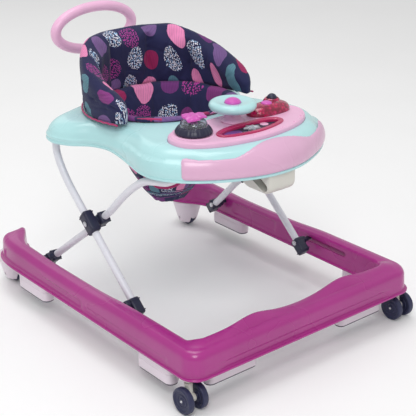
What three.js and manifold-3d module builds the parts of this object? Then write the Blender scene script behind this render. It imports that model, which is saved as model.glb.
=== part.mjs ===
// Baby walker: a U-shaped base on wheels, a scissor leg frame that folds, and a tray with a seat, toys
// and a push handle. Millimetres, +Z up, the front at -Y. The origin is on the floor under the middle.

import * as THREE from "three";
import { mergeVertices } from "three/addons/utils/BufferGeometryUtils.js";
import Module from "manifold-3d";

const wasm = await Module();
wasm.setup();

// ---------------------------------------------------------------- driving dimensions

const GAP = 0.35; // between pieces that touch
const SIDES = ["left", "right"];
const signOf = (side) => (side === "left" ? -1 : 1);

// Base: one moulded U, open to the rear and hollow underneath.
const FLANGE_X = 310; // half width over the flange
const FLANGE_FRONT_Y = -380;
const FLANGE_Z = 71; // underside of the flange
const FLANGE_THICK = 4;
const FLANGE_LIP = 6; // how far the flange stands out from the wall
const RAIL_WIDTH = 51;
const BAR_WIDTH = 57; // the front bar
const CORNER_OUTER_R = 37;
const CORNER_INNER_R = 26;
const RAIL_STRAIGHT_REAR_Y = 262; // the rails bend in behind this
const RAIL_REAR_Y = 361;
const RAIL_TOP_FRONT_Z = 126;
const RAIL_SADDLE = 6; // how far the rail's top dips along the middle
const RAIL_TOP_REAR_Z = 125;
const BAR_KINK_X = 118; // the front bar's inner edge rises to a crest here
const BAR_KINK_RISE = 17;
const BASE_WALL = 3;
const NOSE_LENGTH = 20; // the rounded rear end of each rail

// Legs: an outer pair of tubes and an inner U tube, crossing at a rivet.
const TUBE_R = 8;
const TUBE_BORE_R = 6.8;
const OUTER_LEG_X = 234;
const INNER_LEG_X = 205; // at the crossing and above
const INNER_FOOT_X = 234; // the inner legs splay out to the base
const PIVOT_Z = 106; // both lower pivots
const BASE_PIVOT_Y = 201; // inner legs on the base
const SLOT_PIVOT_Y = -95; // outer legs in the slots
const CROSS_Z = 235;
const CROSS_Y = (BASE_PIVOT_Y + SLOT_PIVOT_Y) / 2;
const TRAY_PIVOT_Y = 171;
const TRAY_PIVOT_Z = 398;
const CROSS_TUBE_Y = -176; // the U tube's front run, under the tray
const CROSS_TUBE_Z = 401;
const PIN_R = 5;
const PIN_TIP_X = 274;
const TOP_PIN_R = 4;
const SLOT_HEIGHT = 12;
const SLOT_FRONT_Y = -216;
const SLOT_REAR_Y = -87;
const FOLD_RANGE = THREE.MathUtils.degToRad(20);

// Casters, rear wheels and stop blocks.
const CASTER_X = 291;
const CASTER_Y = -345;
const CASTER_TRAIL = 7; // how far the axle lies from the swivel
const CASTER_R = 27;
const CASTER_WHEEL_WIDTH = 14;
const CASTER_WHEEL_X = 17; // from the swivel to each wheel's middle
const REAR_WHEEL_X = 259;
const REAR_WHEEL_Y = 342;
const REAR_WHEEL_R = 24;
const REAR_WHEEL_WIDTH = 14;
const REAR_CUP_R = 38;
const AXLE_R = 3;
const STOP_BOTTOM_Z = 29;

// Tray: a hollow moulding round the seat opening.
const TRAY_WALL = 3;
const RIM_Z = 391;
const TRAY_TOP_FRONT_Z = 451;
const TRAY_TOP_REAR_Z = 438;
const SEAT_CENTRE_Y = 80; // middle of the seat opening
const HOLE_HALF_X = 136;
const HOLE_HALF_FRONT = 132;
const HOLE_HALF_REAR = 124;
const OVAL_POWER = 2.3;
const PANEL_TOP_Z = 457; // the toy panel
const PANEL_FOOT_Z = 436;
const BUTTON_TRAVEL = 2.5;
const BUMPER_GAP = 0.8;
const BUMPER_THICK = 3;
const BUMPER_FROM = 0.386; // fraction round the tray where the bumper begins
const BUMPER_SPANS = 18; // stretches of the tray's edge along the bumper
const TRAY_SPANS = 28; // and along the rest of the edge

// Seat: a padded wrap that stands on the tray, and a sling that hangs through its opening.
const SEAT_HALF_X = 188;
const SEAT_HALF_FRONT = 300;
const SEAT_HALF_REAR = 181;
const SEAT_POWER = 2;
const SEAT_THICK = 36;
const SEAT_TOP_Z = 582;
const SEAT_ARM_Z = 496; // top of the wrap at the front of each arm
const SEAT_WRAP_DEGREES = 114; // each side, from the rear middle to the arm's tip
const SEAT_FLARE = 9; // the wrap leans out by this much where it is tallest
const SLING_BOTTOM_Z = 225;
const SLING_THICK = 7;
const SLING_SIDES = 20;
const SEAT_STATIONS = 24;

// Push handle: an upright oval ring on a stem behind the seat.
const HANDLE_Y = 356;
const HANDLE_Z = 560;
const HANDLE_HALF_X = 105;
const HANDLE_HALF_Z = 48;
const HANDLE_R = 12;
const HANDLE_STATIONS = 28;
const STEM_Y = 282;
const STEM_R = 10;

// ---------------------------------------------------------------- colours

const paint = (color, roughness, metalness = 0) => new THREE.MeshStandardMaterial({ color, roughness, metalness });
const MATERIALS = {
  orchid: paint(0xb83a94, 0.3),
  mint: paint(0xb5e3e3, 0.28),
  lilac: paint(0xdda5cc, 0.35),
  pink: paint(0xe9b0d5, 0.4),
  tube: paint(0xdedee6, 0.35, 0.2),
  navy: paint(0x22223f, 0.5),
  wheel: paint(0x34385a, 0.6),
  cream: paint(0xcfcdc4, 0.5),
  stop: paint(0xddcfdd, 0.5),
  steel: paint(0xc0c0c4, 0.3, 0.9),
  fabric: paint(0x262848, 0.9),
  clear: paint(0xd8dde6, 0.1),
  magenta: paint(0xc84fb0, 0.35),
  crimson: paint(0xc8175a, 0.25),
  silver: paint(0xb9bcc6, 0.3, 0.6),
  electronics: paint(0x8a8d92, 0.6),
};

// ---------------------------------------------------------------- solids and helpers

// A closed geometry as a solid of shared vertices.
function toSolid(geometry) {
  const bare = geometry.index ? geometry.toNonIndexed() : geometry.clone();
  bare.deleteAttribute("normal");
  bare.deleteAttribute("uv");
  const merged = mergeVertices(bare, 1e-3);
  return new wasm.Manifold(
    new wasm.Mesh({
      numProp: 3,
      vertProperties: merged.attributes.position.array,
      triVerts: new Uint32Array(merged.index.array),
    }),
  );
}

function toGeometry(solid) {
  const { vertProperties, triVerts } = solid.getMesh();
  const geometry = new THREE.BufferGeometry();
  geometry.setAttribute("position", new THREE.BufferAttribute(new Float32Array(vertProperties), 3));
  geometry.setIndex(new THREE.BufferAttribute(new Uint32Array(triVerts), 1));
  return geometry;
}

const join = (...pieces) => toGeometry(pieces.map(toSolid).reduce((all, next) => all.add(next)));
const cut = (piece, ...tools) => toGeometry(tools.map(toSolid).reduce((rest, tool) => rest.subtract(tool), toSolid(piece)));
const common = (a, b) => toGeometry(toSolid(a).intersect(toSolid(b)));

const point = (x, y, z) => new THREE.Vector3(x, y, z);
const blend = (from, to, t) => from + (to - from) * t;
const spread = (from, to, spans, withEnd = false) =>
  Array.from({ length: spans + (withEnd ? 1 : 0) }, (_, k) => blend(from, to, k / spans));
const smooth = (low, high, value) => THREE.MathUtils.smoothstep(value, low, high);

function turnInsideOut(geometry) {
  const index = geometry.index.array;
  for (let i = 0; i < index.length; i += 3) [index[i + 1], index[i + 2]] = [index[i + 2], index[i + 1]];
  return geometry;
}

function signedVolume(geometry) {
  const { array } = geometry.attributes.position;
  const corner = (i) => new THREE.Vector3().fromArray(array, 3 * geometry.index.array[i]);
  let volume = 0;
  for (let i = 0; i < geometry.index.count; i += 3) {
    volume += corner(i).dot(corner(i + 1).cross(corner(i + 2))) / 6;
  }
  return volume;
}

// A skin over rings of equally many points. The ends are closed, or the last ring joins the first.
function loft(rings, isLoop = false) {
  const count = rings[0].length;
  const at = (ring, k) => (ring % rings.length) * count + (k % count);
  const faces = [];
  const quad = (a, b, c, d) => faces.push(a, b, c, a, c, d);
  const spans = isLoop ? rings.length : rings.length - 1;
  for (let ring = 0; ring < spans; ring++) {
    for (let k = 0; k < count; k++) quad(at(ring, k), at(ring, k + 1), at(ring + 1, k + 1), at(ring + 1, k));
  }
  for (let k = 0; k < count / 2 - 1 && !isLoop; k++) {
    const opposite = count - 1 - k;
    quad(at(0, opposite), at(0, opposite - 1), at(0, k + 1), at(0, k));
    const end = rings.length - 1;
    quad(at(end, k), at(end, k + 1), at(end, opposite - 1), at(end, opposite));
  }
  const geometry = new THREE.BufferGeometry().setFromPoints(rings.flat());
  geometry.setIndex(new THREE.BufferAttribute(new Uint32Array(faces), 1));
  return signedVolume(geometry) < 0 ? turnInsideOut(geometry) : geometry;
}

function block(size, centre) {
  return new THREE.BoxGeometry(...size).translate(...centre);
}

// A round bar between two points; a second radius makes it tapered.
function rod(radius, from, to, sides = 16, endRadius = radius) {
  const along = to.clone().sub(from);
  const turn = new THREE.Quaternion().setFromUnitVectors(point(0, 1, 0), along.clone().normalize());
  const middle = from.clone().add(to).multiplyScalar(0.5);
  return new THREE.CylinderGeometry(endRadius, radius, along.length(), sides)
    .applyQuaternion(turn)
    .translate(...middle);
}

const crossRod = (radius, x0, x1, y, z, sides = 10) => rod(radius, point(x0, y, z), point(x1, y, z), sides);
const postRod = (radius, x, y, z0, z1, sides = 16) => rod(radius, point(x, y, z0), point(x, y, z1), sides);

// A turned piece about a vertical line; the profile lists [radius, z] and starts and ends on the axis.
function turned(profile, x, y, sides = 24) {
  const points = profile.map(([r, z]) => new THREE.Vector2(r, z));
  return new THREE.LatheGeometry(points, sides).rotateX(Math.PI / 2).translate(x, y, 0);
}

function circleShape(radius, sides) {
  const turn = (k) => (2 * Math.PI * k) / sides;
  return Array.from({ length: sides }, (_, k) => new THREE.Vector2(radius * Math.cos(turn(k)), radius * Math.sin(turn(k))));
}

// A tube of outer radius TUBE_R along a curve.
function tubeAlong(curve, steps) {
  const section = new THREE.Shape(circleShape(TUBE_R, 8));
  section.holes.push(new THREE.Path(circleShape(TUBE_BORE_R, 6)));
  return new THREE.ExtrudeGeometry(section, { extrudePath: curve, steps });
}

// A plan outline extruded upwards between two heights.
function slab(shape, z0, z1, bevel = 0, curveSegments = 8) {
  return new THREE.ExtrudeGeometry(shape, {
    depth: z1 - z0 - 2 * bevel,
    bevelEnabled: bevel > 0,
    bevelThickness: bevel,
    bevelSize: bevel,
    bevelOffset: -bevel,
    bevelSegments: bevel > 4 ? 2 : 1,
    curveSegments,
  }).translate(0, 0, z0 + bevel);
}

// A side outline in (y, z) extruded along X between two planes.
function sidePlate(outline, x0, x1) {
  const shape = new THREE.Shape(outline.map(([y, z]) => new THREE.Vector2(y, z)));
  return new THREE.ExtrudeGeometry(shape, { depth: x1 - x0, bevelEnabled: false })
    .rotateX(Math.PI / 2)
    .rotateZ(Math.PI / 2)
    .translate(x0, 0, 0);
}

function roundedRectangle(halfX, halfY, radius) {
  const shape = new THREE.Shape();
  shape.absarc(halfX - radius, halfY - radius, radius, 0, Math.PI / 2);
  shape.absarc(radius - halfX, halfY - radius, radius, Math.PI / 2, Math.PI);
  shape.absarc(radius - halfX, radius - halfY, radius, Math.PI, 1.5 * Math.PI);
  shape.absarc(halfX - radius, radius - halfY, radius, 1.5 * Math.PI, 2 * Math.PI);
  return shape;
}

const walker = new THREE.Group();

function add(name, geometry, material) {
  const mesh = new THREE.Mesh(geometry, MATERIALS[material]);
  mesh.name = name;
  walker.add(mesh);
  return mesh;
}

// ---------------------------------------------------------------- base

// Height of the rail's crown at a place on it: a raised rear half, a dip in the middle of the front bar.
function railTop(x, y, isInner) {
  const nose = THREE.MathUtils.clamp((y - RAIL_REAR_Y + NOSE_LENGTH) / NOSE_LENGTH, 0, 1);
  const saddle = RAIL_SADDLE * smooth(-150, 0, y);
  const side = blend(RAIL_TOP_FRONT_Z - saddle, RAIL_TOP_REAR_Z, smooth(120, 300, y));
  const bar = isInner ? 1 - smooth(-322, -300, y) : 0;
  const crest = Math.exp(-(((Math.abs(x) - BAR_KINK_X) / 48) ** 2));
  const kink = bar * (6 + (BAR_KINK_RISE - 6) * crest - 4 * Math.exp(-((x / 60) ** 2)));
  return FLANGE_Z + (side + kink - FLANGE_Z) * Math.sqrt(1 - 0.93 * nose ** 2);
}

// Matching plan points on the flange's outer and inner edges, from the right rear end to the front middle.
function railStations() {
  const outer = new THREE.CurvePath();
  const inner = new THREE.CurvePath();
  const flat = (x, y) => new THREE.Vector2(x, y);
  const innerX = FLANGE_X - RAIL_WIDTH;
  const innerY = FLANGE_FRONT_Y + BAR_WIDTH;
  const outerRear = new THREE.QuadraticBezierCurve(
    flat(276, RAIL_REAR_Y),
    flat(FLANGE_X - 2, RAIL_REAR_Y - 16),
    flat(FLANGE_X, RAIL_STRAIGHT_REAR_Y),
  );
  const innerRear = new THREE.CubicBezierCurve(
    flat(212, RAIL_REAR_Y),
    flat(214, RAIL_REAR_Y - 34),
    flat(innerX - 10, RAIL_STRAIGHT_REAR_Y + 42),
    flat(innerX, RAIL_STRAIGHT_REAR_Y),
  );
  const outerCorner = flat(FLANGE_X - CORNER_OUTER_R, FLANGE_FRONT_Y + CORNER_OUTER_R);
  const innerCorner = flat(innerX - CORNER_INNER_R, innerY + CORNER_INNER_R);
  const arc = (centre, radius, t) => {
    const angle = (-Math.PI / 2) * t;
    return flat(centre.x + radius * Math.cos(angle), centre.y + radius * Math.sin(angle));
  };
  const stretches = [
    [5, (t) => outerRear.getPoint(t), (t) => innerRear.getPoint(t)],
    [
      3,
      (t) => flat(FLANGE_X, blend(RAIL_STRAIGHT_REAR_Y, outerCorner.y, t)),
      (t) => flat(innerX, blend(RAIL_STRAIGHT_REAR_Y, innerCorner.y, t)),
    ],
    [4, (t) => arc(outerCorner, CORNER_OUTER_R, t), (t) => arc(innerCorner, CORNER_INNER_R, t)],
    [
      7,
      (t) => flat(blend(outerCorner.x, 0, t), FLANGE_FRONT_Y),
      (t) => flat(blend(innerCorner.x, 0, t), innerY),
    ],
  ];
  return stretches.flatMap(([steps, outerAt, innerAt], index) =>
    Array.from({ length: steps + (index === stretches.length - 1 ? 1 : 0) }, (_, k) => ({
      outer: outerAt(k / steps),
      inner: innerAt(k / steps),
    })),
  );
}

// The section across the rail, as [distance in from the outer edge, distance in from the inner edge, z].
// shrink pulls it in by a wall thickness, for the hollow underneath.
function railSection({ outer, inner }, shrink) {
  const width = outer.distanceTo(inner);
  const outerTop = railTop(outer.x, outer.y, false) - shrink;
  const innerTop = railTop(inner.x, inner.y, true) - shrink;
  const bottom = shrink ? FLANGE_Z - 5 : FLANGE_Z;
  const wall = FLANGE_LIP + shrink;
  const edge = (top, fullRadius) => {
    const radius = fullRadius - shrink;
    const low = Math.max(top - radius, FLANGE_Z + (shrink ? -2 : FLANGE_THICK + 1));
    const rise = Math.max(top - low, 0.6);
    const foot = shrink ? [[wall, bottom]] : [[0, bottom], [0, bottom + FLANGE_THICK], [wall, bottom + FLANGE_THICK + 0.6]];
    const round = [0, 45, 90].map((degrees) => {
      const angle = THREE.MathUtils.degToRad(degrees);
      return [wall + 2 + radius * (1 - Math.cos(angle)), low + rise * Math.sin(angle)];
    });
    return [...foot, ...round];
  };
  const across = (inset, z) => {
    const spot = outer.clone().lerp(inner, inset / width);
    return point(spot.x, spot.y, z);
  };
  const outerSide = edge(outerTop, 19).map(([inset, z]) => across(inset, z));
  const innerSide = edge(innerTop, 9).map(([inset, z]) => across(width - inset, z));
  return [...outerSide, ...innerSide.reverse()];
}

function railLoft(stations, shrink) {
  const right = stations.map((station) => railSection(station, shrink));
  const left = right
    .slice(0, -1)
    .reverse()
    .map((ring) => ring.map((p) => point(-p.x, p.y, p.z)));
  return loft([...right, ...left]);
}

// A slot through the rail's inner wall, rounded at both ends.
function slotCutter(sign) {
  const radius = SLOT_HEIGHT / 2;
  const from = sign * (FLANGE_X - RAIL_WIDTH - 5);
  const to = sign * (FLANGE_X - RAIL_WIDTH + 16);
  const front = SLOT_FRONT_Y + radius;
  const rear = SLOT_REAR_Y - radius;
  return join(
    block([Math.abs(to - from), rear - front, SLOT_HEIGHT], [(from + to) / 2, (front + rear) / 2, PIVOT_Z]),
    crossRod(radius, from, to, front, PIVOT_Z),
    crossRod(radius, from, to, rear, PIVOT_Z),
  );
}

function baseShell() {
  const stations = railStations();
  const hollow = railLoft(stations.slice(2), BASE_WALL);
  const pinHoles = SIDES.map((side) => {
    const sign = signOf(side);
    return crossRod(PIN_R + GAP, sign * 250, sign * 276, BASE_PIVOT_Y, PIVOT_Z);
  });
  return cut(railLoft(stations, 0), hollow, ...SIDES.map((side) => slotCutter(signOf(side))), ...pinHoles);
}

const STOP_BLOCKS = {
  side_front: { x: 288, y: -248, halfX: 15, halfY: 54 },
  side_rear: { x: 287, y: 200, halfX: 15, halfY: 58 },
  front: { x: 180, y: -336, halfX: 64, halfY: 14 },
};

// Brake pads under the base: they touch the floor when a wheel drops over a step.
function stopBlock({ x, y, halfX, halfY }, sign) {
  const radius = Math.min(halfX, halfY) - 1;
  const body = slab(roundedRectangle(halfX, halfY, radius), STOP_BOTTOM_Z, FLANGE_Z - GAP, 0, 3);
  return body.translate(sign * x, y, 0);
}

// ---------------------------------------------------------------- wheels

function caster(side) {
  const x = signOf(side) * CASTER_X;
  const axleY = CASTER_Y - CASTER_TRAIL;
  const socket = [[0, 60], [7.5, 60], [7.5, 98], [0, 98]];
  add(`caster_socket_${side}`, cut(turned(socket, x, CASTER_Y, 14), postRod(3.5 + GAP, x, CASTER_Y, 55, 90, 12)), "cream");
  const post = rod(6, point(x, axleY, CASTER_R - 2), point(x, CASTER_Y, 57.5), 12, 8);
  const hub = crossRod(9, x - 8, x + 8, axleY, CASTER_R, 14);
  const stem = postRod(3.5, x, CASTER_Y, 50, 88, 12);
  const axleHole = crossRod(AXLE_R + GAP, x - 20, x + 20, axleY, CASTER_R, 8);
  add(`caster_fork_${side}`, cut(join(post, hub, stem), axleHole), "cream");
  add(`caster_axle_${side}`, crossRod(AXLE_R, x - 23, x + 23, axleY, CASTER_R, 8), "steel");
  for (const [place, offset] of [["outer", signOf(side)], ["inner", -signOf(side)]]) {
    const middle = x + offset * CASTER_WHEEL_X;
    add(`caster_wheel_${side}_${place}`, wheelRing(CASTER_R, CASTER_WHEEL_WIDTH, middle, axleY), "wheel");
  }
}

// A wheel with chamfered edges that stands on the floor, bored for its axle.
function wheelRing(radius, width, x, y) {
  const half = width / 2;
  const bore = AXLE_R + GAP;
  const points = [[bore, -half], [radius - 3, -half], [radius, 3 - half], [radius, half - 3], [radius - 3, half],
    [bore, half], [bore, -half]].map(([r, offset]) => new THREE.Vector2(r, offset));
  return new THREE.LatheGeometry(points, 16).rotateZ(Math.PI / 2).translate(x, y, radius);
}

function rearWheel(side) {
  const x = signOf(side) * REAR_WHEEL_X;
  const cup = [[0, 8], [16, 8], [22, 11], [27, 24], [34, 50], [REAR_CUP_R, 62], [REAR_CUP_R, FLANGE_Z - GAP],
    [0, FLANGE_Z - GAP]];
  const room = block([18, 52, 100], [x, REAR_WHEEL_Y, 0]);
  const bore = crossRod(AXLE_R + GAP, x - 22, x + 22, REAR_WHEEL_Y, REAR_WHEEL_R, 8);
  add(`rear_wheel_housing_${side}`, cut(turned(cup, x, REAR_WHEEL_Y, 14), room, bore), "stop");
  add(`rear_axle_${side}`, crossRod(AXLE_R, x - 19, x + 19, REAR_WHEEL_Y, REAR_WHEEL_R, 8), "steel");
  add(`rear_wheel_${side}`, wheelRing(REAR_WHEEL_R, REAR_WHEEL_WIDTH, x, REAR_WHEEL_Y), "wheel");
}

// ---------------------------------------------------------------- legs

const TUBE_START = -20; // along each tube, from its lower pivot

// The two pivots at the base, the two ends of each straight lower run, and the crossing.
const slotPivot = (sign) => point(sign * OUTER_LEG_X, SLOT_PIVOT_Y, PIVOT_Z);
const basePivot = (sign) => point(sign * INNER_FOOT_X, BASE_PIVOT_Y, PIVOT_Z);
const outerCross = (sign) => point(sign * OUTER_LEG_X, CROSS_Y, CROSS_Z);
const innerCross = (sign) => point(sign * INNER_LEG_X, CROSS_Y, CROSS_Z);
const RISE = new THREE.Vector2(CROSS_Y - SLOT_PIVOT_Y, CROSS_Z - PIVOT_Z).normalize();

const towards = (from, to, distance) => to.clone().sub(from).normalize().multiplyScalar(distance).add(from);
const outerLegPoint = (sign, distance) =>
  outerCross(sign).add(point(0, RISE.x, RISE.y).multiplyScalar(distance));
const innerLegPoint = (sign, distance) =>
  innerCross(sign).add(point(0, -RISE.x, RISE.y).multiplyScalar(distance));

function outerLegCurve(sign) {
  const x = sign * OUTER_LEG_X;
  const bendStart = outerLegPoint(sign, 92);
  const bendEnd = point(x, TRAY_PIVOT_Y, 374);
  const path = new THREE.CurvePath();
  path.add(new THREE.LineCurve3(towards(slotPivot(sign), outerCross(sign), TUBE_START), bendStart));
  path.add(new THREE.QuadraticBezierCurve3(bendStart, point(x, TRAY_PIVOT_Y, 344), bendEnd));
  path.add(new THREE.LineCurve3(bendEnd, point(x, TRAY_PIVOT_Y, TRAY_PIVOT_Z + 5.5)));
  return path;
}

function innerLegCurve() {
  const cornerR = 40;
  const half = (sign) => {
    const x = sign * INNER_LEG_X;
    return [
      towards(basePivot(sign), innerLegPoint(sign, -50), TUBE_START),
      towards(basePivot(sign), innerLegPoint(sign, -50), 100),
      innerLegPoint(sign, -50),
      innerLegPoint(sign, -24),
      innerLegPoint(sign, 24),
      innerLegPoint(sign, 50),
      point(x, -28, 311),
      point(x, -72, 348),
      point(x, -104, 368),
      point(x, CROSS_TUBE_Y + cornerR, CROSS_TUBE_Z - 23),
      point(x - sign * 0.3 * cornerR, CROSS_TUBE_Y + 0.35 * cornerR, CROSS_TUBE_Z - 20),
      point(x - sign * cornerR, CROSS_TUBE_Y, CROSS_TUBE_Z - 9),
    ];
  };
  const middle = [point(-60, CROSS_TUBE_Y, CROSS_TUBE_Z), point(60, CROSS_TUBE_Y, CROSS_TUBE_Z)];
  return new THREE.CatmullRomCurve3([...half(-1), ...middle, ...half(1).reverse()], false, "centripetal");
}

// A moulded sleeve round a tube, along the line from one point towards another.
function sleeve(from, to, start, end, halfX, halfAcross) {
  const along = to.clone().sub(from).normalize();
  const across = along.clone().cross(point(1, 0, 0)).normalize();
  const wide = across.clone().cross(along);
  return slab(roundedRectangle(halfX, halfAcross, 6), start, end, 2, 1)
    .applyMatrix4(new THREE.Matrix4().makeBasis(wide, across, along))
    .translate(...from);
}

const tubeBore = (from, to, start, end) => rod(TUBE_R + 0.7, towards(from, to, start), towards(from, to, end), 10);

// A clip on a tube's foot: a sleeve, a boss beside it and the pin that goes into the rail.
function footClip(foot, above, sign, bossR) {
  const body = join(
    sleeve(foot, above, -30, 8, 11.5, 12),
    crossRod(bossR, foot.x, sign * 256, foot.y, foot.z, 12),
    crossRod(PIN_R, foot.x, sign * PIN_TIP_X, foot.y, foot.z, 12),
  );
  return cut(body, tubeBore(foot, above, TUBE_START - GAP, 60));
}

function crossJoint(side) {
  const sign = signOf(side);
  const inner = innerCross(sign);
  const outer = outerCross(sign);
  const innerAbove = innerLegPoint(sign, 60);
  const outerAbove = outerLegPoint(sign, 60);
  const rivetHole = crossRod(3 + GAP, sign * 170, sign * 270, CROSS_Y, CROSS_Z, 8);
  const hub = crossRod(11, inner.x, outer.x - sign * (11.5 + GAP), CROSS_Y, CROSS_Z, 12);
  const saddle = join(sleeve(inner, innerAbove, -19, 19, 11.5, 12.5), hub);
  add(`cross_saddle_${side}`, cut(saddle, tubeBore(inner, innerAbove, -50, 50), rivetHole), "navy");
  const body = sleeve(outer, outerAbove, -25, 25, 11.5, 13.5);
  add(`cross_sleeve_${side}`, cut(body, tubeBore(outer, outerAbove, -60, 60), rivetHole), "navy");
  const headX = outer.x + sign * (11.5 + GAP);
  const tailX = inner.x - sign * (11.5 + GAP);
  const rivet = join(
    crossRod(3, tailX, headX, CROSS_Y, CROSS_Z, 8),
    crossRod(5.5, headX, headX + sign * 2.5, CROSS_Y, CROSS_Z, 8),
    crossRod(5.5, tailX, tailX - sign * 2.5, CROSS_Y, CROSS_Z, 8),
  );
  add(`cross_rivet_${side}`, rivet, "steel");
}

function legs() {
  const rivetHoles = SIDES.map((side) => crossRod(3 + GAP, signOf(side) * 150, signOf(side) * 270, CROSS_Y, CROSS_Z, 8));
  add("inner_leg_frame", cut(tubeAlong(innerLegCurve(), 32), ...rivetHoles), "tube");
  for (const side of SIDES) {
    const sign = signOf(side);
    const topHole = crossRod(TOP_PIN_R + GAP, sign * 215, sign * 255, TRAY_PIVOT_Y, TRAY_PIVOT_Z, 8);
    add(`outer_leg_${side}`, cut(tubeAlong(outerLegCurve(sign), 12), ...rivetHoles, topHole), "tube");
    add(`lower_clip_inner_${side}`, footClip(basePivot(sign), innerLegPoint(sign, -50), sign, 10), "navy");
    add(`lower_clip_outer_${side}`, footClip(slotPivot(sign), outerCross(sign), sign, 9), "navy");
    crossJoint(side);
  }
}

// ---------------------------------------------------------------- tray

// Half of the tray's outline at its widest, from the rear middle round to the front middle.
const TRAY_OUTLINE = [
  [0, 262], [68, 257], [132, 245], [195, 221], [245, 192], [256, 152], [241, 114], [208, 78],
  [195, 40], [200, -10], [213, -66], [224, -116], [221, -157], [196, -200], [155, -236], [106, -264],
  [54, -284], [0, -291],
];

const trayCurve = new THREE.CatmullRomCurve3(
  [
    ...TRAY_OUTLINE.map(([x, y]) => point(x, y, 0)),
    ...TRAY_OUTLINE.slice(1, -1).reverse().map(([x, y]) => point(-x, y, 0)),
  ],
  true,
  "centripetal",
);

// The point of a rounded oval round the seat, in the direction of a plan point.
function ovalTowards(target, halfX, halfFront, halfRear, power = OVAL_POWER) {
  const dx = target.x;
  const dy = target.y - SEAT_CENTRE_Y;
  const halfY = dy > 0 ? halfRear : halfFront;
  const reach = (Math.abs(dx / halfX) ** power + Math.abs(dy / halfY) ** power) ** (1 / power);
  return point(dx / reach, SEAT_CENTRE_Y + dy / reach, 0);
}

const holeTowards = (target) => ovalTowards(target, HOLE_HALF_X, HOLE_HALF_FRONT, HOLE_HALF_REAR);
const trayTop = (y) => blend(TRAY_TOP_FRONT_Z, TRAY_TOP_REAR_Z, smooth(-60, 120, y));

// The tray's skin at a fraction round it, as [distance in from the outline, z] from the rim to the hole.
function traySkin(t) {
  const outer = trayCurve.getPoint(t % 1);
  const hole = holeTowards(outer);
  const depth = outer.distanceTo(hole);
  const top = trayTop(hole.y);
  const profile = [
    [1, RIM_Z], [1, RIM_Z + 4], [2.5, RIM_Z + 5], [1, RIM_Z + 13], [3, top - 33], [9, top - 21],
    [19, top - 11], [33, top - 4], [blend(33, depth, 0.35), top - 1], [depth - 10, top], [depth - 4, top - 1.5],
    [depth, top - 7], [depth, top - 24],
  ];
  return { outer, hole, depth, profile };
}

// A profile moved sideways by a distance, towards the inside for a positive one.
function offsetProfile(profile, distance) {
  return profile.map(([d, z], k) => {
    const before = profile[Math.max(k - 1, 0)];
    const after = profile[Math.min(k + 1, profile.length - 1)];
    const length = Math.hypot(after[0] - before[0], after[1] - before[1]);
    return [d + (distance * (after[1] - before[1])) / length, z - (distance * (after[0] - before[0])) / length];
  });
}

function onSkin({ outer, hole, depth }, [d, z]) {
  const spot = outer.clone().lerp(hole, d / depth);
  return point(spot.x, spot.y, z);
}

function trayRing(t, from, to) {
  const skin = traySkin(t);
  const outside = offsetProfile(skin.profile, from);
  const inside = offsetProfile(skin.profile, to).filter((_, k) => k % 2 === 0);
  return [...outside, ...inside.reverse()].map((place) => onSkin(skin, place));
}

// A smooth closed outline through half of its points, mirrored; grown outwards from a centre by a margin.
function mirroredOutline(half, centre, grow, count) {
  const spots = [...half, ...half.slice(1, -1).reverse().map(([x, y]) => [-x, y])].map(([x, y]) => {
    const arm = new THREE.Vector2(x, y).sub(centre);
    const spot = arm.setLength(arm.length() + grow).add(centre);
    return point(spot.x, spot.y, 0);
  });
  const curve = new THREE.CatmullRomCurve3(spots, true, "centripetal");
  return new THREE.Shape(curve.getPoints(count).slice(0, -1).map((p) => new THREE.Vector2(p.x, p.y)));
}

const PANEL_HALF = [[0, -90], [60, -94], [118, -100], [148, -110], [165, -130], [167, -158], [151, -187],
  [117, -212], [62, -230], [0, -237]];
const panelShape = (grow = 0) => mirroredOutline(PANEL_HALF, new THREE.Vector2(0, -155), grow, 34);

const WINDOW_HALF = [[0, -158], [52, -162], [80, -176], [82, -192], [66, -203], [0, -215]];
const windowShape = (grow = 0) => mirroredOutline(WINDOW_HALF, new THREE.Vector2(0, -187), grow, 24);

const ADJUSTER_HALF_X = 36;
const ADJUSTER_FRONT_Y = -283;
const ADJUSTER_REAR_Y = -148;
const ADJUSTER_BOTTOM_Z = 347;

// Where the U tube's front run goes, seen from the tray, as the frame folds.
function crossTubePath(steps) {
  const spin = (y, z, angle) => [y * Math.cos(angle) - z * Math.sin(angle), y * Math.sin(angle) + z * Math.cos(angle)];
  return Array.from({ length: steps + 1 }, (_, k) => {
    const angle = (FOLD_RANGE * k) / steps;
    const [crossY, crossZ] = spin(CROSS_Y - BASE_PIVOT_Y, CROSS_Z - PIVOT_Z, angle);
    const [tubeY, tubeZ] = spin(CROSS_TUBE_Y - BASE_PIVOT_Y, CROSS_TUBE_Z - PIVOT_Z, angle);
    const [topY, topZ] = spin(TRAY_PIVOT_Y - CROSS_Y, TRAY_PIVOT_Z - CROSS_Z, -angle);
    return [TRAY_PIVOT_Y + tubeY - crossY - topY, TRAY_PIVOT_Z + tubeZ - crossZ - topZ];
  });
}

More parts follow.
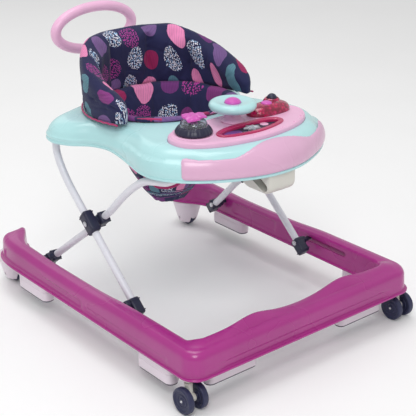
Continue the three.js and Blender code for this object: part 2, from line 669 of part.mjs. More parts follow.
function heightAdjuster() {
  const length = ADJUSTER_REAR_Y - ADJUSTER_FRONT_Y;
  const middleY = (ADJUSTER_REAR_Y + ADJUSTER_FRONT_Y) / 2;
  const body = slab(roundedRectangle(ADJUSTER_HALF_X, length / 2, 12), ADJUSTER_BOTTOM_Z, 432, 0, 3).translate(0, middleY, 0);
  const side = sidePlate(
    [[-140, 440], [-140, 388], [-180, 366], [-214, ADJUSTER_BOTTOM_Z], [-272, ADJUSTER_BOTTOM_Z], [-284, 358],
      [-284, 402], [-272, 416], [-252, 432]],
    -50,
    50,
  );
  const housing = common(body, side);
  const path = crossTubePath(5);
  const runs = path.slice(1).map((end, k) => {
    const start = path[k];
    const direction = new THREE.Vector2(end[0] - start[0], end[1] - start[1]).normalize().multiplyScalar(TUBE_R + 1.6);
    const corners = [
      [start[0] - direction.y, start[1] + direction.x],
      [end[0] - direction.y, end[1] + direction.x],
      [end[0] + direction.y, end[1] - direction.x],
      [start[0] + direction.y, start[1] - direction.x],
    ];
    return sidePlate(corners, -50, 50);
  });
  const rounds = path.map(([y, z]) => crossRod(TUBE_R + 1.6, -50, 50, y, z, 12));
  return cut(housing, ...runs, ...rounds);
}

// A block under the tray beside each outer leg's top, with the pin that goes through the tube.
function topSocket(sign) {
  const inner = sign * (OUTER_LEG_X - TUBE_R - GAP - 14);
  const face = sign * (OUTER_LEG_X - TUBE_R - GAP);
  const body = block([14, 26, 20], [(inner + face) / 2, TRAY_PIVOT_Y - 2, TRAY_PIVOT_Z + 1]);
  return join(body, crossRod(TOP_PIN_R, inner, sign * (OUTER_LEG_X + TUBE_R - 1), TRAY_PIVOT_Y, TRAY_PIVOT_Z, 8));
}

// How far in from the tray's edge the bumper reaches, at a place across the tray: a hump in the middle.
function bumperReach(x) {
  return blend(7, 46, 1 - smooth(6, 112, Math.abs(x)));
}

// The tray's profile from just above the lip up to a distance in from the edge, always with as many points.
function bumperProfile({ profile }, reach) {
  const mix = (a, b, t) => [blend(a[0], b[0], t), blend(a[1], b[1], t)];
  const next = profile.findIndex(([d], k) => k > 4 && d >= reach);
  const [before, after] = [profile[next - 1], profile[next]];
  const last = mix(before, after, (reach - before[0]) / (after[0] - before[0]));
  const kept = profile.slice(3, next);
  const missing = 5 - kept.length;
  const filler = Array.from({ length: missing }, (_, k) => mix(before, last, (k + 1) / (missing + 1)));
  return [mix(profile[2], profile[3], 0.2), ...kept, ...filler, last];
}

function bumperPanel() {
  const rings = spread(BUMPER_FROM, 1 - BUMPER_FROM, BUMPER_SPANS, true).map((t) => {
    const skin = traySkin(t);
    const profile = bumperProfile(skin, bumperReach(skin.outer.x));
    const outside = offsetProfile(profile, -BUMPER_THICK);
    const inside = offsetProfile(profile, -BUMPER_GAP);
    return [...outside, ...inside.reverse()].map((place) => onSkin(skin, place));
  });
  return loft(rings);
}

function tray() {
  const stations = [
    ...spread(BUMPER_FROM, 1 - BUMPER_FROM, BUMPER_SPANS),
    ...spread(1 - BUMPER_FROM, 1 + BUMPER_FROM, TRAY_SPANS),
  ];
  const shell = loft(stations.map((t) => trayRing(t, 0, TRAY_WALL)), true);
  add("tray_shell", cut(shell, slab(panelShape(1), PANEL_FOOT_Z - 6, 470)), "mint");
  add("bumper_panel", bumperPanel(), "lilac");
  add("height_adjuster", heightAdjuster(), "cream");
  for (const side of SIDES) add(`top_socket_${side}`, topSocket(signOf(side)), "cream");
}

// ---------------------------------------------------------------- toys

const DOME = { x: -108, y: -139 };
const WHEEL_Y = -131;
const COVER = { x: 98, y: -130 };
const BALL = { x: 120, y: -118, z: 478, r: 11 };

function toyPanel() {
  const hollow = slab(panelShape(-3), PANEL_FOOT_Z - 1, PANEL_TOP_Z - 4);
  const shell = cut(slab(panelShape(), PANEL_FOOT_Z, PANEL_TOP_Z, 3), hollow);
  add("toy_panel", cut(shell, slab(windowShape(-6), 440, 470)), "pink");
  add("window_bezel", cut(slab(windowShape(), PANEL_TOP_Z + GAP, PANEL_TOP_Z + 4, 1.5), slab(windowShape(-6), 440, 480)),
    "crimson");
  add("window_floor", slab(windowShape(-2), PANEL_TOP_Z - 10, PANEL_TOP_Z - 7), "navy");
  const star = new THREE.Shape(
    Array.from({ length: 10 }, (_, k) => {
      const radius = k % 2 ? 8 : 15;
      return new THREE.Vector2(radius * Math.cos((Math.PI * k) / 5), radius * Math.sin((Math.PI * k) / 5));
    }),
  );
  add("slider_figure", slab(star, PANEL_TOP_Z - 7 + GAP, PANEL_TOP_Z + 3, 1).translate(4, -187, 0), "silver");
}

function domeToy() {
  const top = PANEL_TOP_Z + GAP;
  const base = [[24, top], [36, top], [37, top + 5], [34, top + 12], [29, top + 16], [24, top + 16], [24, top]];
  add("dome_base", turned(base, DOME.x, DOME.y, 20), "navy");
  const seat = top + 16 + GAP;
  const radius = 28;
  const squat = 0.62;
  const arc = (r, from, to, steps) =>
    Array.from({ length: steps + 1 }, (_, k) => {
      const angle = blend(from, to, k / steps);
      return [r * Math.cos(angle), seat + r * squat * Math.sin(angle)];
    });
  const holeAngle = Math.acos(5 / radius);
  const shell = [...arc(radius, 0, holeAngle, 5), ...arc(radius - 2, holeAngle, 0, 5), [radius, seat]];
  add("clear_dome", turned(shell, DOME.x, DOME.y, 18), "clear");
  const crown = seat + radius * squat;
  const knob = turned([[0, seat + 4], [4, seat + 4], [4, crown + 3], [0, crown + 3]], DOME.x, DOME.y, 12);
  const leaf = new THREE.Shape();
  leaf.moveTo(-25, 0);
  leaf.quadraticCurveTo(-10, -17, 9, -10);
  leaf.quadraticCurveTo(19, -12, 25, 0);
  leaf.quadraticCurveTo(17, 11, 5, 9);
  leaf.quadraticCurveTo(-10, 15, -25, 0);
  add("dome_knob", join(knob, slab(leaf, crown + 1, crown + 7, 1.5, 4).translate(DOME.x, DOME.y, 0)), "magenta");
}

function steering() {
  const top = PANEL_TOP_Z + GAP;
  const column = [[0, top], [24, top], [24, top + 4], [16, top + 9], [13, top + 20], [13, top + 22], [0, top + 22]];
  add("steering_column", turned(column, 0, WHEEL_Y, 16), "pink");
  const wheelZ = top + 22 + GAP;
  const button = 17;
  const wheel = [[0, wheelZ], [24, wheelZ], [40, wheelZ + 2], [49, wheelZ + 9], [48, wheelZ + 16],
    [40, wheelZ + 23], [30, wheelZ + 23], [22, wheelZ + 18], [button + GAP, wheelZ + 17], [button + GAP, wheelZ + 10],
    [0, wheelZ + 10]];
  add("steering_wheel", turned(wheel, 0, WHEEL_Y, 24), "mint");
  const press = wheelZ + 10 + BUTTON_TRAVEL + GAP;
  const horn = [[0, press], [button, press], [button, press + 8], [12, press + 12], [0, press + 14]];
  add("horn_button", turned(horn, 0, WHEEL_Y, 16), "magenta");
}

function lightToy() {
  const top = PANEL_TOP_Z + GAP;
  const half = [[0, 24], [30, 22], [50, 12], [54, -4], [40, -22], [0, -28]];
  const outline = mirroredOutline(half, new THREE.Vector2(0, -2), 0, 20);
  const rise = slab(outline, top, top + 20, 8, 4).translate(COVER.x, COVER.y, 0);
  const buttonX = COVER.x - 6;
  const buttonWell = postRod(12 + GAP, buttonX, COVER.y - 2, top + 11, top + 30, 16);
  const ball = (r) => new THREE.SphereGeometry(r, 14, 8).translate(BALL.x, BALL.y, BALL.z);
  add("light_cover", cut(rise, buttonWell, ball(BALL.r + 0.6)), "crimson");
  const press = top + 11 + BUTTON_TRAVEL + GAP;
  const button = [[0, press], [12, press], [12, press + 6], [9, press + 9], [0, press + 10.5]];
  add("music_button", turned(button, buttonX, COVER.y - 2, 14), "magenta");
  add("roller_ball", ball(BALL.r), "navy");
}

function toyElectronics() {
  const box = { halfX: 44, front: -145, rear: -104, top: PANEL_TOP_Z - 4 - GAP, bottom: 416 };
  const depth = box.rear - box.front;
  const middle = (box.front + box.rear) / 2;
  const height = box.top - box.bottom;
  const outer = block([2 * box.halfX, depth, height], [0, middle, (box.top + box.bottom) / 2]);
  const room = block([2 * box.halfX - 5, depth - 5, height], [0, middle, (box.top + box.bottom) / 2 - 4]);
  add("battery_box", cut(outer, room), "electronics");
  add("battery_lid", block([2 * box.halfX, depth, 2.5], [0, middle, box.bottom - GAP - 1.25]), "electronics");
}

// ---------------------------------------------------------------- seat

// A point of an oval round the seat's middle, at an angle from the rear.
function seatPlan(angle, halfX, halfFront, halfRear, power = OVAL_POWER) {
  const direction = point(Math.sin(angle), SEAT_CENTRE_Y + Math.cos(angle), 0);
  return ovalTowards(direction, halfX, halfFront, halfRear, power);
}

function seatRing(angle) {
  const degrees = Math.abs(THREE.MathUtils.radToDeg(angle));
  const tip = Math.sqrt(1 - 0.9 * THREE.MathUtils.clamp((degrees - SEAT_WRAP_DEGREES + 9) / 9, 0, 1) ** 2);
  const edge = (inset) => seatPlan(angle, SEAT_HALF_X - inset, SEAT_HALF_FRONT - inset, SEAT_HALF_REAR - inset, SEAT_POWER);
  const outer = edge(0);
  const inner = edge(SEAT_THICK);
  const out = outer.clone().sub(inner).normalize();
  const middle = outer.clone().add(inner).multiplyScalar(0.5);
  const bottom = trayTop(holeTowards(middle).y) + 2;
  const fall = THREE.MathUtils.clamp((degrees - 38) / (SEAT_WRAP_DEGREES - 40), 0, 1);
  const crest = blend(SEAT_TOP_Z, SEAT_ARM_Z, fall ** 1.15);
  const height = (crest - bottom) * tip;
  const half = (outer.distanceTo(inner) / 2) * tip;
  const section = [[1, 0], [1, 0.3], [1, 0.65], [0.95, 0.85], [0.55, 0.98], [0, 1],
    [-0.55, 0.98], [-0.95, 0.85], [-1, 0.65], [-1, 0.3], [-1, 0], [0, 0]];
  return section.map(([side, rise]) => {
    const lean = (SEAT_FLARE * rise * height) / (SEAT_TOP_Z - TRAY_TOP_REAR_Z);
    const spot = middle.clone().addScaledVector(out, side * half + lean);
    return point(spot.x, spot.y, bottom + rise * height);
  });
}

function seatBack() {
  const limit = THREE.MathUtils.degToRad(SEAT_WRAP_DEGREES);
  return loft(Array.from({ length: SEAT_STATIONS + 1 }, (_, k) => seatRing(blend(-limit, limit, k / SEAT_STATIONS))));
}

// The sling's outline at heights from the tray down, as [z, half width, reach forward, reach back].
const SLING_RINGS = [
  [440, 132, 128, 120], [400, 127, 120, 114], [350, 113, 102, 96], [300, 90, 74, 70], [255, 64, 48, 48],
  [SLING_BOTTOM_Z, 38, 28, 30],
];

function slingLoft(inset) {
  const rings = SLING_RINGS.map(([z, halfX, front, rear], index) => {
    const isEnd = index === SLING_RINGS.length - 1;
    const level = z + (inset ? (isEnd ? inset : index === 0 ? 20 : inset / 2) : 0);
    return Array.from({ length: SLING_SIDES }, (_, k) => {
      const spot = seatPlan((2 * Math.PI * (k + 0.5)) / SLING_SIDES, halfX - inset, front - inset, rear - inset);
      return point(spot.x, spot.y, level);
    });
  });
  return loft(rings);
}

// The sling's brim, which lies on the tray round the opening.
function slingBrim() {
  const corners = [[-6, 0], [9, 0], [9, 3], [-6, 3]];
  const rings = Array.from({ length: SLING_SIDES }, (_, k) => {
    const angle = (2 * Math.PI * (k + 0.5)) / SLING_SIDES;
    return corners.map(([grow, rise]) => {
      const spot = seatPlan(angle, HOLE_HALF_X + grow, HOLE_HALF_FRONT + grow, HOLE_HALF_REAR + grow);
      return point(spot.x, spot.y, trayTop(holeTowards(spot).y) + 2 * GAP + rise);
    });
  });
  return loft(rings, true);
}

function seatSling() {
  const legHoles = SIDES.map((side) => rod(46, point(0, 72, 318), point(signOf(side) * 200, -98, 318), 16));
  return cut(join(slingLoft(0), slingBrim()), slingLoft(SLING_THICK), ...legHoles);
}

// ---------------------------------------------------------------- push handle

function pushHandle() {
  const section = circleShape(HANDLE_R, 8);
  const rings = Array.from({ length: HANDLE_STATIONS }, (_, k) => {
    const angle = (2 * Math.PI * k) / HANDLE_STATIONS;
    const middle = point(HANDLE_HALF_X * Math.cos(angle), HANDLE_Y, HANDLE_Z + HANDLE_HALF_Z * Math.sin(angle));
    const out = point(Math.cos(angle) * HANDLE_HALF_Z, 0, Math.sin(angle) * HANDLE_HALF_X).normalize();
    return section.map((p) => middle.clone().addScaledVector(out, p.x).add(point(0, p.y, 0)));
  });
  const stem = new THREE.CurvePath();
  const bend = point(0, STEM_Y, 446);
  stem.add(new THREE.LineCurve3(point(0, STEM_Y, 406), bend));
  stem.add(new THREE.QuadraticBezierCurve3(bend, point(0, STEM_Y, 492), point(0, HANDLE_Y, HANDLE_Z - HANDLE_HALF_Z)));
  const shape = new THREE.Shape(circleShape(STEM_R, 10));
  return join(loft(rings, true), new THREE.ExtrudeGeometry(shape, { extrudePath: stem, steps: 9 }));
}

function handleBracket() {
  const body = slab(roundedRectangle(24, 17, 8), 396, 440, 2, 3).translate(0, STEM_Y, 0);
  return cut(body, postRod(STEM_R + 0.8, 0, STEM_Y, 405, 460, 14));
}

function seatAndHandle() {
  add("seat_back", seatBack(), "fabric");
  add("seat_sling", seatSling(), "fabric");
  add("push_handle", pushHandle(), "pink");
  add("handle_bracket", handleBracket(), "mint");
}

tray();
toyPanel();
domeToy();
steering();
lightToy();
toyElectronics();
seatAndHandle();
legs();
add("base_shell", baseShell(), "orchid");
for (const side of SIDES) {
  for (const [place, dims] of Object.entries(STOP_BLOCKS)) {
    add(`stop_block_${place}_${side}`, stopBlock(dims, signOf(side)), "stop");
  }
  caster(side);
  rearWheel(side);
}

export default walker;
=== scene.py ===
"""Looks for the baby walker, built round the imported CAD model. Shapes are in millimetres until meshed."""

import math

import bmesh
import bpy
import numpy as np
from mathutils import Matrix, Vector


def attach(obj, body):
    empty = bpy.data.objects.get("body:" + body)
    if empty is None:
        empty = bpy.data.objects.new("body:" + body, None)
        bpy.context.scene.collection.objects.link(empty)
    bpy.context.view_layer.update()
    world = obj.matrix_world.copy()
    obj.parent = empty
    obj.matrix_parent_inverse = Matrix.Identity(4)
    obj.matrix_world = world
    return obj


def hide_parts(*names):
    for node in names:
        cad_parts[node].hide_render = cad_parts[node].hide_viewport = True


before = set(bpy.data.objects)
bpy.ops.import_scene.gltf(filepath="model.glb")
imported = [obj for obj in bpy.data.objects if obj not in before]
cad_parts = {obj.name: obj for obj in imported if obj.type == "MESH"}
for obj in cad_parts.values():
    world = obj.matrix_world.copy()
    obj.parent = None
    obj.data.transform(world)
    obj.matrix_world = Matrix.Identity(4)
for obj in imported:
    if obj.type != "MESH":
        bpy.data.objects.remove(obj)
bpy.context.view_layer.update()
SIDES = (("left", -1), ("right", 1))

# ---------------------------------------------------------------- camera

CAMERA_AZIMUTH = math.radians(-39.76)
CAMERA_ELEVATION = math.radians(22.87)
CAMERA_DISTANCE = 2.507
CAMERA_LENS = 96.48
LOOK_AT = Vector((0.0606, 0.0197, 0.2))


def make_camera():
    back = Vector((
        math.sin(CAMERA_AZIMUTH) * math.cos(CAMERA_ELEVATION),
        -math.cos(CAMERA_AZIMUTH) * math.cos(CAMERA_ELEVATION),
        math.sin(CAMERA_ELEVATION),
    ))
    data = bpy.data.cameras.new("camera")
    data.lens = CAMERA_LENS
    data.sensor_width = 36
    camera = bpy.data.objects.new("camera", data)
    camera.location = LOOK_AT + back * CAMERA_DISTANCE
    camera.rotation_euler = back.to_track_quat("Z", "Y").to_euler()
    bpy.context.scene.collection.objects.link(camera)
    bpy.context.scene.camera = camera


make_camera()
bpy.context.scene.view_settings.view_transform = "Standard"

# ---------------------------------------------------------------- numbers shared with the CAD, in mm

FLANGE_X, FLANGE_FRONT_Y, FLANGE_Z, FLANGE_THICK, FLANGE_LIP = 310, -380, 71, 4, 6
RAIL_WIDTH, BAR_WIDTH = 51, 57
CORNER_OUTER_R, CORNER_INNER_R = 37, 26
RAIL_STRAIGHT_REAR_Y, RAIL_REAR_Y = 262, 361
RAIL_TOP_FRONT_Z, RAIL_TOP_REAR_Z, RAIL_SADDLE = 126, 125, 6
BAR_KINK_X, BAR_KINK_RISE = 118, 17
BASE_WALL, NOSE_LENGTH = 3, 20
TUBE_R = 8
OUTER_LEG_X, INNER_LEG_X, INNER_FOOT_X = 234, 205, 234
PIVOT_Z, BASE_PIVOT_Y, SLOT_PIVOT_Y = 106, 201, -95
CROSS_Y, CROSS_Z = 53, 235
TRAY_PIVOT_Y, TRAY_PIVOT_Z = 171, 398
CROSS_TUBE_Y, CROSS_TUBE_Z = -176, 401
SLOT_FRONT_Y, SLOT_REAR_Y, SLOT_HEIGHT = -216, -87, 12
CASTER_X, CASTER_Y, CASTER_TRAIL, CASTER_R = 291, -345, 7, 27
REAR_WHEEL_X, REAR_WHEEL_Y, REAR_WHEEL_R = 259, 342, 24
RIM_Z, TRAY_TOP_FRONT_Z, TRAY_TOP_REAR_Z = 391, 451, 438
SEAT_CENTRE_Y, HOLE_HALF_X, HOLE_HALF_FRONT, HOLE_HALF_REAR, OVAL_POWER = 80, 136, 132, 124, 2.3
PANEL_TOP_Z, PANEL_FOOT_Z = 457, 436
BUMPER_FROM = 0.386
PANEL_MIDDLE, WINDOW_MIDDLE = (0, -155), (0, -187)
DOME_AT, STEERING_Y, LIGHT_AT = (-108, -139), -131, (98, -130)
BALL_AT, BALL_R = (120, -118, 478), 11
STUFFING_FRAMES = 20
SEAT_HALF_X, SEAT_HALF_FRONT, SEAT_HALF_REAR, SEAT_THICK = 188, 300, 181, 36
SEAT_TOP_Z, SEAT_ARM_Z, SEAT_WRAP, SEAT_FLARE = 582, 496, 114, 9
HANDLE_Y, HANDLE_Z, HANDLE_HALF_X, HANDLE_HALF_Z, HANDLE_R, STEM_Y, STEM_R = 356, 560, 105, 48, 12, 282, 10

TRAY_OUTLINE = [
    (0, 262), (68, 257), (132, 245), (195, 221), (245, 192), (256, 152), (241, 114), (208, 78), (195, 40),
    (200, -10), (213, -66), (224, -116), (221, -157), (196, -200), (155, -236), (106, -264), (54, -284),
    (0, -291),
]
PANEL_HALF = [
    (0, -90), (60, -94), (118, -100), (148, -110), (165, -130), (167, -158), (151, -187), (117, -212),
    (62, -230),
    (0, -237),
]
WINDOW_HALF = [(0, -158), (52, -162), (80, -176), (82, -192), (66, -203), (0, -215)]

# ---------------------------------------------------------------- small maths


def blend(a, b, t):
    return a + (b - a) * t


def smooth(low, high, value):
    t = np.clip((np.asarray(value, float) - low) / (high - low), 0, 1)
    return t * t * (3 - 2 * t)


def bump(value, centre, width):
    return np.exp(-((np.asarray(value, float) - centre) / width) ** 2)


def through(points, t, closed):
    """Points of a centripetal Catmull-Rom curve through points, at fractions t."""
    pts = np.array(points, float)
    count = len(pts)
    spans = count if closed else count - 1
    at = np.asarray(t, float) * spans
    index = np.minimum(np.floor(at).astype(int), spans - 1)
    u = (at - index)[:, None]
    if closed:
        p0, p1, p2, p3 = (pts[(index + k) % count] for k in (-1, 0, 1, 2))
    else:
        ext = np.vstack([2 * pts[0] - pts[1], pts, 2 * pts[-1] - pts[-2]])
        p0, p1, p2, p3 = (ext[index + k] for k in (0, 1, 2, 3))
    d0, d1, d2 = (np.linalg.norm(b - a, axis=1)[:, None] ** 0.5 for a, b in ((p0, p1), (p1, p2), (p2, p3)))
    m1 = ((p1 - p0) / d0 - (p2 - p0) / (d0 + d1) + (p2 - p1) / d1) * d1
    m2 = ((p2 - p1) / d1 - (p3 - p1) / (d1 + d2) + (p3 - p2) / d2) * d1
    return p1 + m1 * u + (3 * (p2 - p1) - 2 * m1 - m2) * u**2 + (2 * (p1 - p2) + m1 + m2) * u**3


def mirrored(half):
    return list(half) + [(-x, y) for x, y in half[-2:0:-1]]


def resample(points, count, closed=False):
    """count points evenly spaced along a polyline."""
    pts = np.array(points, float)
    if closed:
        pts = np.vstack([pts, pts[:1]])
    run = np.concatenate([[0], np.cumsum(np.linalg.norm(np.diff(pts, axis=0), axis=1))])
    at = np.linspace(0, run[-1], count + 1)[:-1] if closed else np.linspace(0, run[-1], count)
    return np.stack([np.interp(at, run, pts[:, k]) for k in range(pts.shape[1])], axis=1)


def outline_of(half, centre, grow, count):
    """A smooth closed plan outline, grown outwards from a centre."""
    pts = np.array(mirrored(half), float)
    arm = pts - centre
    reach = np.linalg.norm(arm, axis=1)[:, None]
    curve = through(centre + arm * (reach + grow) / reach, np.linspace(0, 1, 400, endpoint=False), True)
    return resample(curve, count, True)


def oval_towards(target, half_x, half_front, half_rear, power=OVAL_POWER):
    target = np.asarray(target, float)
    dx, dy = target[..., 0], target[..., 1] - SEAT_CENTRE_Y
    half_y = np.where(dy > 0, half_rear, half_front)
    reach = (np.abs(dx / half_x) ** power + np.abs(dy / half_y) ** power) ** (1 / power)
    return np.stack([dx / reach, SEAT_CENTRE_Y + dy / reach], axis=-1)


# ---------------------------------------------------------------- materials


class Nodes:
    """A material's node tree, with a principled shader at the end."""

    def __init__(self, name, color, rough, **sockets):
        self.material = bpy.data.materials.new(name)
        self.material.use_nodes = True
        self.tree = self.material.node_tree
        self.shader = self.tree.nodes["Principled BSDF"]
        self.shader.inputs["Base Color"].default_value = linear(color)
        self.shader.inputs["Roughness"].default_value = rough
        for key, value in sockets.items():
            self.shader.inputs[key.replace("_", " ")].default_value = value

    def add(self, kind, inputs=None, **settings):
        node = self.tree.nodes.new("ShaderNode" + kind)
        for key, value in settings.items():
            setattr(node, key, value)
        for key, value in (inputs or {}).items():
            if isinstance(value, bpy.types.NodeSocket):
                self.tree.links.new(value, node.inputs[key])
            else:
                node.inputs[key].default_value = value
        return node

    def math(self, operation, a, b=0.0, clamp=False):
        return self.add("Math", {0: a, 1: b}, operation=operation, use_clamp=clamp).outputs[0]

    def mix(self, factor, a, b):
        node = self.add("Mix", data_type="RGBA")
        for socket, value in ((node.inputs[0], factor), (node.inputs[6], a), (node.inputs[7], b)):
            if isinstance(value, bpy.types.NodeSocket):
                self.tree.links.new(value, socket)
            else:
                socket.default_value = value
        return node.outputs[2]

    def ramp(self, value, low, high, out_low=0.0, out_high=1.0):
        inputs = {"Value": value, "From Min": low, "From Max": high, "To Min": out_low, "To Max": out_high}
        return self.add("MapRange", inputs, interpolation_type="SMOOTHSTEP").outputs[0]

    def put(self, socket, value):
        self.tree.links.new(value, self.shader.inputs[socket])

    def place(self):
        return self.add("TexCoord").outputs["Object"]

    def noise(self, scale, detail=3.0, vector=None):
        inputs = {"Vector": vector or self.place(), "Scale": scale, "Detail": detail}
        return self.add("TexNoise", inputs).outputs["Fac"]

    def relief(self, height, strength, distance):
        node = self.add("Bump", {"Height": height, "Strength": strength, "Distance": distance})
        self.put("Normal", node.outputs[0])


def linear(color, alpha=1.0):
    """A colour written as 0xRRGGBB, as linear RGBA."""
    parts = [((color >> shift) & 255) / 255 for shift in (16, 8, 0)]
    return (*[p / 12.92 if p <= 0.04045 else ((p + 0.055) / 1.055) ** 2.4 for p in parts], alpha)


def shade(color, factor):
    r, g, b, a = linear(color)
    return (r * factor, g * factor, b * factor, a)


def moulded(name, color, rough=0.3, coat=0.25, grain=900.0, grain_depth=0.0001, strength=0.12, **sockets):
    """Moulded plastic: slight flow marks in the colour, uneven gloss and a fine surface."""
    n = Nodes(name, color, rough, Coat_Weight=coat, Coat_Roughness=0.12, IOR=1.5, **sockets)
    flow = n.noise(9.0, 4.0)
    n.put("Base Color", n.mix(n.ramp(flow, 0.35, 0.7), shade(color, 0.96), shade(color, 1.04)))
    n.put("Roughness", n.ramp(n.noise(7.0, 2.0), 0.3, 0.75, rough - 0.03, rough + 0.04))
    n.relief(n.noise(grain, 2.0), strength, grain_depth)
    return n.material


def painted_tube(name, color):
    n = Nodes(name, color, 0.32, Coat_Weight=0.35, Coat_Roughness=0.15)
    flecks = n.noise(300.0, 6.0)
    n.put("Base Color", n.mix(n.ramp(flecks, 0.66, 0.8), linear(color), shade(color, 0.82)))
    n.put("Roughness", n.ramp(n.noise(40.0), 0.3, 0.7, 0.26, 0.4))
    n.relief(n.noise(1400.0, 2.0), 0.1, 0.0001)
    return n.material


def metal(name, color, rough):
    n = Nodes(name, color, rough, Metallic=1.0)
    n.put("Roughness", n.ramp(n.noise(120.0, 5.0), 0.3, 0.7, rough - 0.08, rough + 0.1))
    return n.material


def clear_plastic(name):
    n = Nodes(name, 0xE8ECF4, 0.05, Transmission_Weight=0.95, IOR=1.45)
    n.put("Roughness", n.ramp(n.noise(60.0), 0.35, 0.7, 0.03, 0.1))
    return n.material


def jewel_plastic(name, color):
    """Translucent plastic with a faceted relief on its inside, as on a lit toy button, with painted facet
    light: each cell painted lighter in its middle and darker at its edges.
    """
    n = Nodes(name, color, 0.16, Coat_Weight=0.6, Coat_Roughness=0.06, Transmission_Weight=0.25, IOR=1.48,
              Subsurface_Weight=0.2, Subsurface_Scale=0.01)
    cells = n.add("TexVoronoi", {"Vector": n.place(), "Scale": 150.0}, feature="SMOOTH_F1")
    # painted facet highlight and shade: cell middles painted lighter, cell edges painted darker
    n.put("Base Color",
          n.mix(n.ramp(cells.outputs["Distance"], 0.1, 0.62), shade(color, 1.35), shade(color, 0.5)))
    n.relief(cells.outputs["Distance"], 0.5, 0.002)
    return n.material


NAVY_CLOTH = 0x1C1E4C
PRINT_SCALE = 16.5  # motifs per metre
DOT_COLORS = (0xF08FC0, 0x86357E, 0xA01C5C, 0x77568F, 0x5C8C9C, 0xB04598, 0xF08FC0, 0x73317A)


def printed_cloth(name):
    """Navy cloth printed with round leaf motifs and rings of short dashes, with a weave and crumples."""
    n = Nodes(name, NAVY_CLOTH, 0.85, Sheen_Weight=0.08, Sheen_Roughness=0.5)
    spot = n.add("Attribute", attribute_name="cloth_place").outputs["Vector"]
    cells = n.add("TexVoronoi", {"Vector": spot, "Scale": PRINT_SCALE, "Randomness": 0.34},
                  voronoi_dimensions="2D")
    pick = n.add("SeparateColor", {0: cells.outputs["Color"]})
    spread = n.add("VectorMath", {0: spot, "Scale": PRINT_SCALE}, operation="SCALE").outputs[0]
    middle = n.add("VectorMath", {0: cells.outputs["Position"], "Scale": PRINT_SCALE},
                   operation="SCALE").outputs[0]
    arm = n.add("VectorMath", {0: spread, 1: middle}, operation="SUBTRACT").outputs[0]
    heading = n.math("MULTIPLY", pick.outputs[1], 6.283)
    turned_arm = n.add("VectorRotate", {"Vector": arm, "Angle": heading}, rotation_type="Z_AXIS").outputs[0]
    parts = n.add("SeparateXYZ", {0: turned_arm})
    waist = n.math("ADD", n.math("MULTIPLY", parts.outputs[0], 0.7), 1.1)
    narrow = n.math("MULTIPLY", parts.outputs[1], waist)
    shape = n.add("CombineXYZ", {0: parts.outputs[0], 1: narrow}).outputs[0]
    reach = n.add("VectorMath", {0: shape}, operation="LENGTH").outputs["Value"]
    wobble = n.add("TexNoise", {"Vector": spot, "Scale": 60.0, "Detail": 4.0}).outputs["Fac"]
    uneven = n.math("ADD", reach, n.math("MULTIPLY", n.math("SUBTRACT", wobble, 0.5), 0.07))
    radius = n.ramp(pick.outputs[2], 0.0, 1.0, 0.33, 0.43)
    inside = n.math("LESS_THAN", uneven, radius)
    palette = n.add("ValToRGB", {0: pick.outputs[0]})
    palette.color_ramp.interpolation = "CONSTANT"
    stops = palette.color_ramp.elements
    for k, color in enumerate(DOT_COLORS):
        element = stops[k] if k < 2 else stops.new(k / len(DOT_COLORS))
        element.position = k / len(DOT_COLORS)
        element.color = linear(color)
    veins = n.add("TexWave", {"Vector": turned_arm, "Scale": 3.2, "Distortion": 3.0, "Detail": 2.0},
                  bands_direction="Y")
    leaf = n.mix(n.ramp(veins.outputs["Fac"], 0.05, 0.3, 0.8, 1.0), linear(NAVY_CLOTH), palette.outputs[0])
    dashes = n.add("TexVoronoi", {"Vector": spot, "Scale": 260.0, "Randomness": 1.0},
                   voronoi_dimensions="2D")
    speckle = n.math("LESS_THAN", dashes.outputs["Distance"], 0.36)
    tint = n.add("SeparateColor", {0: dashes.outputs["Color"]})
    pale = n.mix(n.math("GREATER_THAN", tint.outputs[0], 0.6), linear(0xF6F4FF), linear(0xA9CDF0))
    speck_color = n.mix(n.math("GREATER_THAN", pick.outputs[1], 0.7), pale, linear(0xB23C97))
    is_speckled = n.math("GREATER_THAN", n.math("FRACT", n.math("MULTIPLY", pick.outputs[2], 7.0)), 0.68)
    ring_mask = n.math("MULTIPLY", n.math("LESS_THAN", uneven, 0.44), speckle)
    plain = n.mix(inside, linear(NAVY_CLOTH), leaf)
    dotted = n.mix(ring_mask, linear(NAVY_CLOTH), speck_color)
    print_color = n.mix(is_speckled, plain, dotted)
    fade = n.ramp(n.noise(14.0, 4.0), 0.3, 0.75, 0.86, 1.08)
    faded = n.add("VectorMath", {0: print_color, "Scale": fade}, operation="SCALE").outputs[0]
    n.put("Base Color", faded)
    warp = n.add("TexWave", {"Vector": spot, "Scale": 330.0}, bands_direction="X").outputs["Fac"]
    weft = n.add("TexWave", {"Vector": spot, "Scale": 330.0}, bands_direction="Y").outputs["Fac"]
    weave = n.math("ADD", warp, weft)
    folds = n.noise(30.0, 3.0)
    height = n.math("ADD", n.math("MULTIPLY", weave, 0.06), folds)
    n.relief(height, 0.35, 0.003)
    return n.material


def piping_cloth(name, color):
    n = Nodes(name, color, 0.7, Sheen_Weight=0.3)
    n.put("Base Color", n.mix(n.noise(160.0, 5.0), shade(color, 0.75), shade(color, 1.2)))
    n.relief(n.noise(900.0, 2.0), 0.4, 0.0006)
    return n.material


